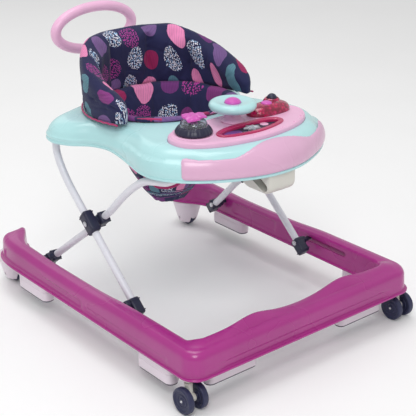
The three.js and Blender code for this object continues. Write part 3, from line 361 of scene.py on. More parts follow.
ORCHID = moulded("orchid_gloss", 0xA82A84, 0.27, 0.25)
MINT = moulded("mint_gloss", 0xB4E1E3, 0.26, 0.35)
LILAC = moulded("lilac_gloss", 0xDCADCB, 0.28, 0.3)
PINK = moulded("pink_plastic", 0xEDB9D9, 0.36, 0.2)
TUBE = painted_tube("tube_paint", 0xE2E2EA)
NAVY = moulded("navy_plastic", 0x20213C, 0.42, 0.1, 1500.0, 0.0002, 0.3)
WHEEL = moulded("wheel_plastic", 0x25284A, 0.5, 0.05, 1500.0, 0.0002, 0.35)
CREAM = moulded("cream_plastic", 0xD5D3CB, 0.45, 0.1)
STOP = moulded("stop_plastic", 0xE4D8E2, 0.45, 0.1)
PAD_RUBBER = moulded("pad_rubber", 0x4A4A55, 0.75, 0.0, 2000.0, 0.0003, 0.4)
STEEL = metal("steel", 0xC8C8CE, 0.3)
CLOTH = printed_cloth("seat_fabric")
PIPING = piping_cloth("piping", 0xB01E66)
CLEAR = clear_plastic("clear_plastic")
MAGENTA = moulded("magenta_plastic", 0xD255B8, 0.3, 0.3)
CRIMSON = jewel_plastic("crimson_plastic", 0xC8175A)
BEZEL = moulded("bezel_plastic", 0xB9265F, 0.25, 0.4)
SILVER = moulded("silver_plastic", 0xC3C5CE, 0.28, 0.4, Metallic=0.6)
PURPLE = moulded("purple_plastic", 0x6B4E9B, 0.35, 0.3)
CASE = moulded("electronics_plastic", 0x8A8D92, 0.6, 0.0)

# ---------------------------------------------------------------- mesh building


def mesh_piece(name, points, faces, material, body, replaces=(), slot=None, sharp=38.0):
    """A mesh object from points in mm, with its normals facing out."""
    mesh = bpy.data.meshes.new(name)
    mesh.from_pydata((np.asarray(points, float) / 1000).tolist(), [], [list(map(int, f)) for f in faces])
    bm = bmesh.new()
    bm.from_mesh(mesh)
    bmesh.ops.remove_doubles(bm, verts=bm.verts, dist=1e-6)
    bmesh.ops.recalc_face_normals(bm, faces=bm.faces)
    bm.to_mesh(mesh)
    bm.free()
    piece = bpy.data.objects.new(name, mesh)
    bpy.context.scene.collection.objects.link(piece)
    finish_piece(piece, material, body, replaces, sharp)
    return piece


def finish_piece(piece, material, body, replaces, sharp=38.0):
    piece.data.materials.clear()
    piece.data.materials.append(material)
    smooth_mesh(piece, sharp)
    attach(piece, body)
    if replaces:
        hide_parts(*([replaces] if isinstance(replaces, str) else replaces))


def smooth_mesh(piece, sharp=38.0):
    piece.data.shade_smooth()
    piece.data.set_sharp_from_angle(angle=math.radians(sharp))


def loft(rings, loop=False, caps=True, closed=True):
    """Points and faces of a skin over rings, each ring closed round; the ends are capped unless looped."""
    rings = np.asarray(rings, float)
    count, sides = rings.shape[:2]
    faces = []
    for i in range(count if loop else count - 1):
        a, b = i * sides, ((i + 1) % count) * sides
        for k in range(sides if closed else sides - 1):
            m = (k + 1) % sides
            faces.append((a + k, a + m, b + m, b + k))
    if caps and not loop:
        faces.append(tuple(range(sides)))
        faces.append(tuple(range((count - 1) * sides, count * sides)))
    return rings.reshape(-1, 3), faces


def merge(*parts):
    """Several (points, faces) as one."""
    points, faces, base = [], [], 0
    for p, f in parts:
        points.append(np.asarray(p, float))
        faces += [tuple(i + base for i in face) for face in f]
        base += len(p)
    return np.vstack(points), faces


def sweep(path, radius, sides=20, loop=False, scale=None):
    """A round bar along a path; radius is a number or one per point; scale squeezes it along Z."""
    path = np.asarray(path, float)
    count = len(path)
    if loop:
        tangent = np.roll(path, -1, 0) - np.roll(path, 1, 0)
    else:
        tangent = np.gradient(path, axis=0)
    tangent /= np.linalg.norm(tangent, axis=1)[:, None]
    radii = np.broadcast_to(np.asarray(radius, float), (count,))
    side = np.cross(tangent[0], (1, 0, 0) if abs(tangent[0][0]) < 0.8 else (0, 1, 0))
    side /= np.linalg.norm(side)
    turn = np.linspace(0, 2 * math.pi, sides, endpoint=False)
    rings = []
    for i in range(count):
        side = side - tangent[i] * side.dot(tangent[i])
        side /= np.linalg.norm(side)
        other = np.cross(tangent[i], side)
        around = np.outer(np.cos(turn), side) + np.outer(np.sin(turn), other)
        if scale:
            around = around * (1, 1, scale)
        rings.append(path[i] + radii[i] * around)
    return loft(rings, loop)


def lathe(profile, centre, sides=48, axis="Z"):
    """A turned piece: profile rows are (radius, height) and may start and end on the axis."""
    profile = np.asarray(profile, float)
    turn = np.linspace(0, 2 * math.pi, sides, endpoint=False)
    rings = np.zeros((len(profile), sides, 3))
    rings[..., 0] = profile[:, :1] * np.cos(turn)
    rings[..., 1] = profile[:, :1] * np.sin(turn)
    rings[..., 2] = profile[:, 1:2]
    if axis == "X":
        rings = rings[..., [2, 0, 1]]
    return loft(rings + np.asarray(centre, float), caps=bool(profile[0, 0] > 0.01 or profile[-1, 0] > 0.01))


def rounded(profile, radius=1.0, steps=3):
    """A polyline profile with its corners rounded off."""
    profile = [np.array(p, float) for p in profile]
    out = [profile[0]]
    for before, corner, after in zip(profile, profile[1:], profile[2:]):
        a = before - corner
        b = after - corner
        reach = min(radius, np.linalg.norm(a) * 0.45, np.linalg.norm(b) * 0.45)
        start = corner + a / max(np.linalg.norm(a), 1e-6) * reach
        end = corner + b / max(np.linalg.norm(b), 1e-6) * reach
        for t in np.linspace(0, 1, steps + 1):
            out.append((1 - t) ** 2 * start + 2 * t * (1 - t) * corner + t**2 * end)
    out.append(profile[-1])
    return np.array(out)


def inward_of(outline):
    """Unit directions into a closed plan outline, at each of its points."""
    after = np.roll(outline, -1, 0)
    tangent = after - np.roll(outline, 1, 0)
    tangent /= np.linalg.norm(tangent, axis=1)[:, None]
    area = np.sum(outline[:, 0] * after[:, 1] - after[:, 0] * outline[:, 1])
    return np.stack([-tangent[:, 1], tangent[:, 0]], axis=1) * (1 if area > 0 else -1)


def slab(outline, levels):
    """A plan outline stacked at levels of (inset, z): insets shrink it towards its own middle."""
    outline = np.asarray(outline, float)
    inward = inward_of(outline)
    rings = [np.column_stack([outline + inward * inset, np.full(len(outline), z)]) for inset, z in levels]
    return loft(rings)


def block(size, bevel, place, segments=3):
    """A box with rounded edges, placed by a 4x4 matrix."""
    bm = bmesh.new()
    bmesh.ops.create_cube(bm, size=1.0)
    bmesh.ops.scale(bm, vec=size, verts=bm.verts)
    bmesh.ops.bevel(bm, geom=bm.edges, offset=bevel, segments=segments, profile=0.5, affect="EDGES")
    bmesh.ops.transform(bm, matrix=place, verts=bm.verts)
    points = np.array([v.co[:] for v in bm.verts])
    faces = [tuple(v.index for v in f.verts) for f in bm.faces]
    bm.free()
    return points, faces


def along(start, end, distance):
    """A placement at a distance from start towards end: Z along, X kept level."""
    start, end = Vector(start), Vector(end)
    z = (end - start).normalized()
    y = z.cross(Vector((1, 0, 0))).normalized()
    x = y.cross(z)
    return Matrix.Translation(start + z * distance) @ Matrix((x, y, z)).transposed().to_4x4()


def subtract(piece, *tools):
    """Cuts tool solids, given as (points, faces), out of a piece."""
    for points, faces in tools:
        mesh = bpy.data.meshes.new("cutter")
        mesh.from_pydata((np.asarray(points) / 1000).tolist(), [], faces)
        bm = bmesh.new()
        bm.from_mesh(mesh)
        bmesh.ops.recalc_face_normals(bm, faces=bm.faces)
        bm.to_mesh(mesh)
        bm.free()
        cutter = bpy.data.objects.new("cutter", mesh)
        bpy.context.scene.collection.objects.link(cutter)
        modifier = piece.modifiers.new("cut", "BOOLEAN")
        modifier.operation = "DIFFERENCE"
        modifier.solver = "EXACT"
        modifier.object = cutter
        apply_modifiers(piece)
        bpy.data.objects.remove(cutter)


def apply_modifiers(piece):
    graph = bpy.context.evaluated_depsgraph_get()
    graph.update()
    made = bpy.data.meshes.new_from_object(piece.evaluated_get(graph))
    piece.modifiers.clear()
    piece.data = made


# ---------------------------------------------------------------- base


def rail_top(x, y, is_inner):
    nose = np.clip((y - RAIL_REAR_Y + NOSE_LENGTH) / NOSE_LENGTH, 0, 1)
    saddle = RAIL_SADDLE * smooth(-150, 0, y)
    side = blend(RAIL_TOP_FRONT_Z - saddle, RAIL_TOP_REAR_Z, smooth(120, 300, y))
    bar = 1 - smooth(-322, -300, y) if is_inner else 0.0
    kink = bar * (6 + (BAR_KINK_RISE - 6) * bump(abs(x), BAR_KINK_X, 48) - 4 * bump(x, 0, 60))
    return FLANGE_Z + (side + kink - FLANGE_Z) * math.sqrt(1 - 0.93 * nose**2)


def bezier(points, t):
    points = [np.array(p, float) for p in points]
    while len(points) > 1:
        points = [blend(a, b, t) for a, b in zip(points, points[1:])]
    return points[0]


def rail_stations():
    """Matching plan points on the flange's outer and inner edges, all the way round the U."""
    inner_x = FLANGE_X - RAIL_WIDTH
    inner_y = FLANGE_FRONT_Y + BAR_WIDTH
    outer_rear = [(276, RAIL_REAR_Y), (FLANGE_X - 2, RAIL_REAR_Y - 16), (FLANGE_X, RAIL_STRAIGHT_REAR_Y)]
    inner_rear = [(212, RAIL_REAR_Y), (214, RAIL_REAR_Y - 34), (inner_x - 10, RAIL_STRAIGHT_REAR_Y + 42),
                  (inner_x, RAIL_STRAIGHT_REAR_Y)]
    outer_corner = np.array((FLANGE_X - CORNER_OUTER_R, FLANGE_FRONT_Y + CORNER_OUTER_R), float)
    inner_corner = np.array((inner_x - CORNER_INNER_R, inner_y + CORNER_INNER_R), float)

    def corner(centre, radius, t):
        return centre + radius * np.array((math.cos(t * math.pi / 2), -math.sin(t * math.pi / 2)))

    right = []
    for t in (np.linspace(0, 1, 30, endpoint=False)) ** 1.5:
        right.append((bezier(outer_rear, t), bezier(inner_rear, t)))
    for t in np.linspace(0, 1, 130, endpoint=False):
        y_outer = blend(RAIL_STRAIGHT_REAR_Y, outer_corner[1], t)
        y_inner = blend(RAIL_STRAIGHT_REAR_Y, inner_corner[1], t)
        right.append((np.array((FLANGE_X, y_outer)), np.array((inner_x, y_inner))))
    for t in np.linspace(0, 1, 18, endpoint=False):
        right.append((corner(outer_corner, CORNER_OUTER_R, t), corner(inner_corner, CORNER_INNER_R, t)))
    for t in np.linspace(0, 1, 50):
        right.append((np.array((blend(outer_corner[0], 0, t), FLANGE_FRONT_Y)),
                      np.array((blend(inner_corner[0], 0, t), inner_y))))
    flip = np.array((-1, 1))
    return right + [(outer * flip, inner * flip) for outer, inner in right[-2::-1]]


def panel_dent(along_y, z, y0, y1, z0, z1, depth, edge=4.0):
    """Depth of a rounded recess pressed into a side wall."""
    inside = np.minimum.reduce([along_y - y0, y1 - along_y, z - z0, z1 - z])
    return depth * smooth(-edge / 2, edge / 2, inside)


def wall_dent(spot, z, is_inner):
    """How far the moulded panels in the rail's side walls go in at a place."""
    x, y = spot
    if is_inner and y > -290:
        return panel_dent(y, z, 20, 168, 84, 112, 2.4) + panel_dent(y, z, 232, 300, 84, 110, 2.0)
    if is_inner:
        return panel_dent(x, z, -205, 205, 84, 104, 1.6)
    if y > -330:
        arch = 88 + 22 * math.sqrt(max(0.0, 1 - ((y - 235) / 92) ** 2))
        return panel_dent(y, z, -6, 322, 80, max(arch, 95), 3.2) + panel_dent(y, z, -300, -22, 80, 90, 1.6)
    return 2.2 * (1 - smooth(89, 93, z)) * smooth(250, 215, abs(x))


def rail_section(outer, inner):
    width = np.linalg.norm(inner - outer)

    def edge(spot, full_radius, is_inner):
        top = rail_top(spot[0], spot[1], is_inner)
        low = max(top - full_radius, FLANGE_Z + FLANGE_THICK + 1)
        rise = max(top - low, 0.6)
        rows = [(0.6, FLANGE_Z), (0, FLANGE_Z + 0.8), (0, FLANGE_Z + FLANGE_THICK - 0.8),
                (0.7, FLANGE_Z + FLANGE_THICK),
                (FLANGE_LIP - 1.4, FLANGE_Z + FLANGE_THICK + 0.3),
                (FLANGE_LIP - 0.3, FLANGE_Z + FLANGE_THICK + 0.9)]
        foot = FLANGE_Z + FLANGE_THICK + 2
        if low > foot + 2:
            for z in np.linspace(foot, low, 15, endpoint=False):
                rows.append((FLANGE_LIP + 2 * (z - foot) / (low - foot) + wall_dent(spot, z, is_inner), z))
        else:
            rows += [(FLANGE_LIP, foot)] * 15
        for angle in np.linspace(0, math.pi / 2, 9):
            rows.append((FLANGE_LIP + 2 + full_radius * (1 - math.cos(angle)),
                         low + rise * math.sin(angle)))
        return rows

    outer_side = [(inset, z) for inset, z in edge(outer, 19, False)]
    inner_side = [(width - inset, z) for inset, z in edge(inner, 9, True)][::-1]
    (start, z0), (end, z1) = outer_side[-1], inner_side[0]
    crown = []
    for t in np.linspace(0, 1, 6)[1:-1]:
        crown.append((blend(start, end, t), blend(z0, z1, t) + 1.2 * math.sin(math.pi * t)))
    ring = []
    for inset, z in outer_side + crown + inner_side:
        spot = outer + (inner - outer) * inset / width
        ring.append((spot[0], spot[1], z))
    return ring


def round_rod(radius, x0, x1, y, z, sides=24):
    low, high = sorted((x0, x1))
    return lathe([(0, low), (radius, low), (radius, high), (0, high)], (0, y, z), sides, "X")


def base_shell():
    rings = [rail_section(outer, inner) for outer, inner in rail_stations()]
    points, faces = loft(rings, caps=False, closed=False)
    count = len(rings[0])
    faces += [tuple(range(count)), tuple(range((len(rings) - 1) * count, len(rings) * count))]
    piece = mesh_piece("base_moulding", points, faces, ORCHID, "base", "base_shell")
    skin = piece.modifiers.new("skin", "SOLIDIFY")
    skin.thickness = BASE_WALL / 1000
    skin.offset = -1
    apply_modifiers(piece)
    radius = SLOT_HEIGHT / 2
    for _, sign in SIDES:
        x0, x1 = sign * (FLANGE_X - RAIL_WIDTH - 5), sign * (FLANGE_X - RAIL_WIDTH + 18)
        ends = [(SLOT_FRONT_Y + radius, np.linspace(math.pi / 2, 3 * math.pi / 2, 12)),
                (SLOT_REAR_Y - radius, np.linspace(-math.pi / 2, math.pi / 2, 12))]
        outline = [(y + radius * math.cos(a), PIVOT_Z + radius * math.sin(a)) for y,
                   turn in ends for a in turn]
        slot = loft([[(x, y, z) for y, z in outline] for x in (x0, x1)])
        subtract(piece, slot, round_rod(5.4, sign * 250, sign * 278, BASE_PIVOT_Y, PIVOT_Z))
    smooth_mesh(piece, 32)


def rounded_rectangle(half_x, half_y, radius, steps=8):
    outline = []
    for sx, sy, start in ((1, 1, 0), (-1, 1, 90), (-1, -1, 180), (1, -1, 270)):
        for angle in np.radians(np.linspace(start, start + 90, steps)):
            outline.append((sx * (half_x - radius) + radius * math.cos(angle),
                            sy * (half_y - radius) + radius * math.sin(angle)))
    return np.array(outline)


def stop_blocks():
    blocks = {"side_front": (288, -248, 15, 54), "side_rear": (287, 200, 15, 58),
              "front": (180, -336, 64, 14)}
    for side, sign in SIDES:
        for place, (x, y, half_x, half_y) in blocks.items():
            outline = rounded_rectangle(half_x, half_y, min(half_x, half_y) - 1) + (sign * x, y)
            body = slab(outline,
                        [(1.6, 32), (0.4, 32.6), (0, 34), (0, 52), (0.8, 53), (0.8, 54.5), (0, 55.5),
                         (0, 70.6)])
            mesh_piece(f"stop_{place}_{side}", *body, STOP, "base", f"stop_block_{place}_{side}")
            tread = slab(outline, [(2.6, 29), (1.4, 29.6), (1.0, 32)])
            mesh_piece(f"stop_tread_{place}_{side}", *tread, PAD_RUBBER, "base", slot="stop_plastic")


# ---------------------------------------------------------------- wheels


def wheel(name, radius, half, x, y, body):
    """A moulded wheel with a rounded tread and concentric steps on both faces."""
    face = [(3.5, half - 1), (6.5, half - 0.6), (7.2, half - 2.6), (11, half - 3), (11.6, half - 1.6),
            (13.4, half - 1.6),
            (14, half - 3), (radius - 7, half - 2.6), (radius - 6, half - 0.4), (radius - 3, half),
            (radius - 0.8, half - 1.2),
            (radius, half - 3.4)]
    profile = [(r, z) for r, z in face] + [(r, -z) for r, z in face[::-1]]
    turn = np.linspace(0, 2 * math.pi, 56, endpoint=False)
    profile = rounded(profile, 0.6, 2)
    rings = [[(x + z, y + r * math.cos(a), radius + r * math.sin(a)) for a in turn] for r, z in profile]
    mesh_piece(name, *loft(rings, loop=True), WHEEL, body, name_of_node(name), sharp=50)


def name_of_node(name):
    return name.replace("_look", "")


def axle_pin(name, half, x, y, z, body):
    profile = rounded([(0, x - half), (2.2, x - half), (3, x - half + 1), (3, x + half - 1),
                       (2.2, x + half), (0, x + half)], 0.5)
    mesh_piece(name, *lathe(profile, (0, y, z), 20, "X"), STEEL, body, name_of_node(name))


def casters():
    axle_y = CASTER_Y - CASTER_TRAIL
    for side, sign in SIDES:
        x = sign * CASTER_X
        socket = rounded([(4.2, 60), (7.5, 60), (7.5, 98), (4.2, 98)], 1.0)
        mesh_piece(f"caster_socket_{side}_look",
                   *lathe(np.vstack([socket, socket[:1]]), (x, CASTER_Y, 0), 28), CREAM,
                   "base", f"caster_socket_{side}", sharp=50)
        post = sweep([(x, axle_y, 20), (x, axle_y + 1, 30), (x, axle_y + 4, 44), (x, CASTER_Y, 55),
                      (x, CASTER_Y, 57.5)],
                     [5.5, 6.2, 7, 8, 7.8], 28)
        hub = lathe(rounded([(0, x - 8), (9, x - 8), (9, x + 8), (0, x + 8)], 1.5), (0, axle_y, CASTER_R),
                    36, "X")
        stem = lathe([(0, 50), (3.5, 50), (3.5, 87), (2.5, 88), (0, 88)], (x, CASTER_Y, 0), 20)
        collar = lathe(rounded([(0, 52), (8.6, 52), (8.6, 56), (0, 56)], 1.2), (x, CASTER_Y, 0), 28)
        mesh_piece(f"caster_fork_{side}_look", *merge(post, hub, stem, collar), CREAM, f"caster_{side}",
                   f"caster_fork_{side}")
        axle_pin(f"caster_axle_{side}_look", 24.2, x, axle_y, CASTER_R, f"caster_{side}")
        for place, offset in (("outer", sign), ("inner", -sign)):
            name = f"caster_wheel_{side}_{place}"
            wheel(f"{name}_look", CASTER_R, 7, x + offset * 17, axle_y, name)


def rear_wheels():
    for side, sign in SIDES:
        x = sign * REAR_WHEEL_X
        profile = rounded([(0, 8), (16, 8), (22, 11), (27, 24), (34, 50), (38, 62), (38, 70.6), (0, 70.6)],
                          3.0, 4)
        housing = mesh_piece(f"rear_wheel_housing_{side}_look", *lathe(profile, (x, REAR_WHEEL_Y, 0), 56),
                             STOP, "base",
                             f"rear_wheel_housing_{side}")
        room = block((18, 52, 100), 0.5, Matrix.Translation((x, REAR_WHEEL_Y, 0)))
        subtract(housing, room, round_rod(3.4, x - 30, x + 30, REAR_WHEEL_Y, REAR_WHEEL_R))
        smooth_mesh(housing, 35)
        axle_pin(f"rear_axle_{side}_look", 19, x, REAR_WHEEL_Y, REAR_WHEEL_R, "base")
        wheel(f"rear_wheel_{side}_look", REAR_WHEEL_R, 7, x, REAR_WHEEL_Y, f"rear_wheel_{side}")


# ---------------------------------------------------------------- legs

RISE = np.array((CROSS_Y - SLOT_PIVOT_Y, CROSS_Z - PIVOT_Z), float)
RISE /= np.linalg.norm(RISE)


def outer_leg_point(sign, distance):
    return np.array((sign * OUTER_LEG_X, CROSS_Y + RISE[0] * distance, CROSS_Z + RISE[1] * distance))


def inner_leg_point(sign, distance):
    return np.array((sign * INNER_LEG_X, CROSS_Y - RISE[0] * distance, CROSS_Z + RISE[1] * distance))


def towards(start, end, distance):
    start, end = np.array(start, float), np.array(end, float)
    return start + (end - start) / np.linalg.norm(end - start) * distance


def outer_leg(side, sign):
    x = sign * OUTER_LEG_X
    start = towards((x, SLOT_PIVOT_Y, PIVOT_Z), outer_leg_point(sign, 0), -20)
    bend = outer_leg_point(sign, 92)
    knots = [bend, (x, TRAY_PIVOT_Y, 344), (x, TRAY_PIVOT_Y, 374)]
    curve = [bezier(knots, t) for t in np.linspace(0, 1, 24)]
    path = [start, blend(start, bend, 0.5), *curve, (x, TRAY_PIVOT_Y, TRAY_PIVOT_Z + 4),
            (x, TRAY_PIVOT_Y, TRAY_PIVOT_Z + 5.4)]
    radii = [TUBE_R] * (len(path) - 1) + [TUBE_R - 1.2]
    mesh_piece(f"outer_tube_{side}", *sweep(path, radii, 32), TUBE, f"outer_leg_{side}",
               f"outer_leg_{side}")


def inner_leg_frame():
    def half(sign):
        x = sign * INNER_LEG_X
        foot = (sign * INNER_FOOT_X, BASE_PIVOT_Y, PIVOT_Z)
        above = inner_leg_point(sign, -50)
        return [towards(foot, above, -20), towards(foot, above, 100), above, inner_leg_point(sign, -24),
                inner_leg_point(sign, 24), inner_leg_point(sign, 50), (x, -28, 311), (x, -72, 348),
                (x, -104, 368),
                (x, CROSS_TUBE_Y + 40, CROSS_TUBE_Z - 23),
                (x - sign * 12, CROSS_TUBE_Y + 14, CROSS_TUBE_Z - 20),
                (x - sign * 40, CROSS_TUBE_Y, CROSS_TUBE_Z - 9)]
    spots = half(-1) + [(-60, CROSS_TUBE_Y, CROSS_TUBE_Z), (60, CROSS_TUBE_Y, CROSS_TUBE_Z)] + half(1)[::-1]
    path = resample(through(spots, np.linspace(0, 1, 600), False), 260)
    mesh_piece("inner_tube", *sweep(path, TUBE_R, 32), TUBE, "inner_legs", "inner_leg_frame")


def sleeve(start, end, low, high, half_x, half_across):
    """A moulded sleeve round a tube, with two raised ribs round it."""
    body = block((2 * half_x, 2 * half_across, high - low), 4.5, along(start, end, (low + high) / 2), 4)
    ribs = [block((2 * half_x + 1.4, 2 * half_across + 1.4, 2.4), 1.1, along(start, end, at), 2)
            for at in (low + 6, high - 6)]
    return merge(body, *ribs)


def foot_clip(name, foot, above, sign, boss_r, body):
    x, y, z = foot
    boss = rounded([(0, 6), (boss_r, 6), (boss_r, 19), (boss_r - 1.5, 22), (0, 22)], 1.0)
    boss = [(r, x + sign * offset) for r, offset in boss]
    pin = round_rod(5, x + sign * 20, sign * 274, y, z, 24)
    points = merge(sleeve(foot, above, -30, 8, 11.5, 12), lathe(boss, (0, y, z), 32, "X"), pin)
    mesh_piece(f"{name}_look", *points, NAVY, body, name)
    cap = lathe(rounded([(0, 2), (6, 2), (6, 12.4), (4.5, 13.6), (0, 14)], 0.6) * (1, -sign) + (0, x),
                (0, y, z), 28, "X")
    mesh_piece(f"{name}_cap", *cap, STEEL, body)


def cross_joint(side, sign):
    inner, outer = inner_leg_point(sign, 0), outer_leg_point(sign, 0)
    hub_end = outer[0] - sign * 11.85
    hub = lathe([(0, inner[0]), (11, inner[0]), (11, hub_end), (0, hub_end)], (0, CROSS_Y, CROSS_Z), 36,
                "X")
    saddle = merge(sleeve(inner, inner_leg_point(sign, 60), -19, 19, 11.5, 12.5), hub)
    mesh_piece(f"cross_saddle_{side}_look", *saddle, NAVY, "inner_legs", f"cross_saddle_{side}")
    body = sleeve(outer, outer_leg_point(sign, 60), -25, 25, 11.5, 13.5)
    mesh_piece(f"cross_sleeve_{side}_look", *body, NAVY, f"outer_leg_{side}", f"cross_sleeve_{side}")
    tail, head = inner[0] - sign * 11.9, outer[0] + sign * 12.6
    rivet = [(0, tail - sign * 2.4), (4, tail - sign * 2.2), (5.5, tail - sign * 1), (5.5, tail), (3, tail),
             (3, head),
             (6, head), (6, head + sign * 1), (4, head + sign * 2.2), (0, head + sign * 2.5)]
    mesh_piece(f"cross_rivet_{side}_look", *lathe(rivet, (0, CROSS_Y, CROSS_Z), 28, "X"), STEEL,
               "inner_legs",
               f"cross_rivet_{side}")


def legs():
    inner_leg_frame()
    for side, sign in SIDES:
        outer_leg(side, sign)
        foot_clip(f"lower_clip_inner_{side}", (sign * INNER_FOOT_X, BASE_PIVOT_Y, PIVOT_Z),
                  inner_leg_point(sign, -50), sign,
                  10, "inner_legs")
        foot_clip(f"lower_clip_outer_{side}", (sign * OUTER_LEG_X, SLOT_PIVOT_Y, PIVOT_Z),
                  outer_leg_point(sign, 0), sign,
                  9, f"outer_leg_{side}")
        cross_joint(side, sign)


# ---------------------------------------------------------------- tray


def tray_top(y):
    return blend(TRAY_TOP_FRONT_Z, TRAY_TOP_REAR_Z, smooth(-60, 120, y))


def tray_curve(t):
    return through(mirrored(TRAY_OUTLINE), np.mod(t, 1), True)


def skin_profile(depth, top, spot):
    """The tray's skin from the rim to the seat hole, as rows of (distance in from the outline, z)."""
    lip = [(1, RIM_Z), (0.4, RIM_Z + 1), (0.4, RIM_Z + 3.4), (1.2, RIM_Z + 4.4), (2.6, RIM_Z + 5)]
    knots = [(2.4, RIM_Z + 6), (1, RIM_Z + 13), (3, top - 33), (9, top - 21), (19, top - 11), (33, top - 4),
             (blend(33, depth, 0.35), top - 1), (depth - 10, top), (depth - 4, top - 1.5), (depth, top - 7),
             (depth, top - 24)]
    rows = resample(through(knots, np.linspace(0, 1, 240), False), 64)
    step = (1 - smooth(-70, 20, spot[1])) * smooth(150, 190, abs(spot[0]))
    ledge = smooth(top - 24, top - 20, rows[:, 1]) * (1 - smooth(30, 70, rows[:, 0]))
    rows[:, 0] += 9 * step * ledge
    return np.vstack([lip, rows])


def offset_profile(rows, distance):
    before = np.vstack([rows[:1], rows[:-1]])
    after = np.vstack([rows[1:], rows[-1:]])
    step = after - before
    step /= np.linalg.norm(step, axis=1)[:, None]
    return rows + np.stack([step[:, 1], -step[:, 0]], axis=1) * np.reshape(distance, (-1, 1))


def tray_station(t):
    outer = tray_curve(np.array([t]))[0]
    hole = oval_towards(outer, HOLE_HALF_X, HOLE_HALF_FRONT, HOLE_HALF_REAR)
    depth = np.linalg.norm(outer - hole)
    return outer, hole, depth, tray_top(hole[1])


def lay(rows, outer, hole, depth):
    spots = outer + (hole - outer) * rows[:, :1] / depth
    return np.column_stack([spots, rows[:, 1]])


def tray_shell():
    rings = []
    for t in np.linspace(0, 1, 300, endpoint=False):
        outer, hole, depth, top = tray_station(t)
        rows = skin_profile(depth, top, outer)
        inside = offset_profile(rows, 3.0)[::3][::-1]
        rings.append(np.vstack([lay(rows, outer, hole, depth), lay(inside, outer, hole, depth)]))
    piece = mesh_piece("tray_moulding", *loft(rings, loop=True), MINT, "tray", "tray_shell")
    cutter = slab(outline_of(PANEL_HALF, PANEL_MIDDLE, 1, 120), [(0, PANEL_FOOT_Z - 6), (0, 470)])
    subtract(piece, cutter)
    smooth_mesh(piece, 32)


def bumper_panel():
    """The lilac guard laid on the tray's front, with rounded ends and a hump in the middle."""
    corner = 11
    ends = np.linspace(0, 0.03, 16)
    fractions = np.concatenate([ends[:-1], np.linspace(0.03, 0.97, 150), 1 - ends[::-1][1:]])
    length = np.linalg.norm(np.diff(tray_curve(np.linspace(BUMPER_FROM, 1 - BUMPER_FROM, 400)), axis=0),
                            axis=1).sum()
    rings = []
    for part in fractions:
        outer, hole, depth, top = tray_station(blend(BUMPER_FROM, 1 - BUMPER_FROM, part))
        skin = resample(skin_profile(depth, top, (0, 0))[5:], 200)
        reach = blend(13, 46, 1 - smooth(6, 112, abs(outer[0]))) + 4 * smooth(160, 195, abs(outer[0]))
        is_upper = skin[:, 1] > top - 34
        last = int(np.argmax(is_upper & (skin[:, 0] > reach)))
        low = skin[:last]
        near = min(part, 1 - part) * length / corner
        pinch = corner * (1 - math.sqrt(1 - (1 - min(near, 1)) ** 2))
        run = np.concatenate([[0], np.cumsum(np.linalg.norm(np.diff(low, axis=0), axis=1))])
        at = np.linspace(pinch * 0.7, run[-1] - pinch, 28)
        rows = np.column_stack([np.interp(at, run, low[:, k]) for k in (0, 1)])
        across = np.abs(np.linspace(-1, 1, 28))
        bulge = 2.6 * np.clip(1 - across**8, 0, 1) * math.sqrt(1 - (1 - min(near * 2, 1)) ** 2)
        outside = offset_profile(rows, -0.7 - bulge)
        inside = offset_profile(rows, -0.35)[::3][::-1]
        rings.append(np.vstack([lay(outside, outer, hole, depth), lay(inside, outer, hole, depth)]))
    mesh_piece("bumper_look", *loft(rings), LILAC, "tray", "bumper_panel", sharp=50)


def band(outline, section):
    """A closed section, as (inset, z) rows, carried round a plan outline."""
    outline = np.asarray(outline, float)
    rings = []
    for spot, direction in zip(outline, inward_of(outline)):
        rings.append([(*(spot + direction * inset), z) for inset, z in section])
    return loft(rings, loop=True)


def toy_panel():
    top = PANEL_TOP_Z
    outline = outline_of(PANEL_HALF, PANEL_MIDDLE, 0, 200)
    levels = rounded([(0, PANEL_FOOT_Z), (0, top - 6), (0.6, top - 1.6), (2.6, top + 0.9), (5, top + 0.6),
                      (6.6, top - 0.6),
                      (9, top - 0.6), (11, top), (13, top)], 1.0, 2)
    piece = mesh_piece("panel_look", *slab(outline, levels), PINK, "tray", "toy_panel")
    window = slab(outline_of(WINDOW_HALF, WINDOW_MIDDLE, -6, 90), [(0, PANEL_FOOT_Z - 2), (0, top + 5)])
    subtract(piece, window)
    smooth_mesh(piece, 30)
    studs = []
    front = [p for p in outline if p[1] < -195][::11]
    for x, y in front:
        inward = np.array(PANEL_MIDDLE) - (x, y)
        spot = np.array((x, y)) + inward / np.linalg.norm(inward) * 7
        studs.append(lathe([(0, top - 1), (4.2, top - 0.8), (3.6, top + 0.9), (2, top + 1.7),
                            (0, top + 1.9)], (*spot, 0), 18))
    bead = [(40, top - 1), (44, top - 1), (43.4, top + 0.8), (41, top + 1.2), (40, top - 1)]
    studs.append(lathe(rounded(bead, 0.6), (*DOME_AT, 0), 60))
    mesh_piece("panel_studs", *merge(*studs), PINK, "tray")


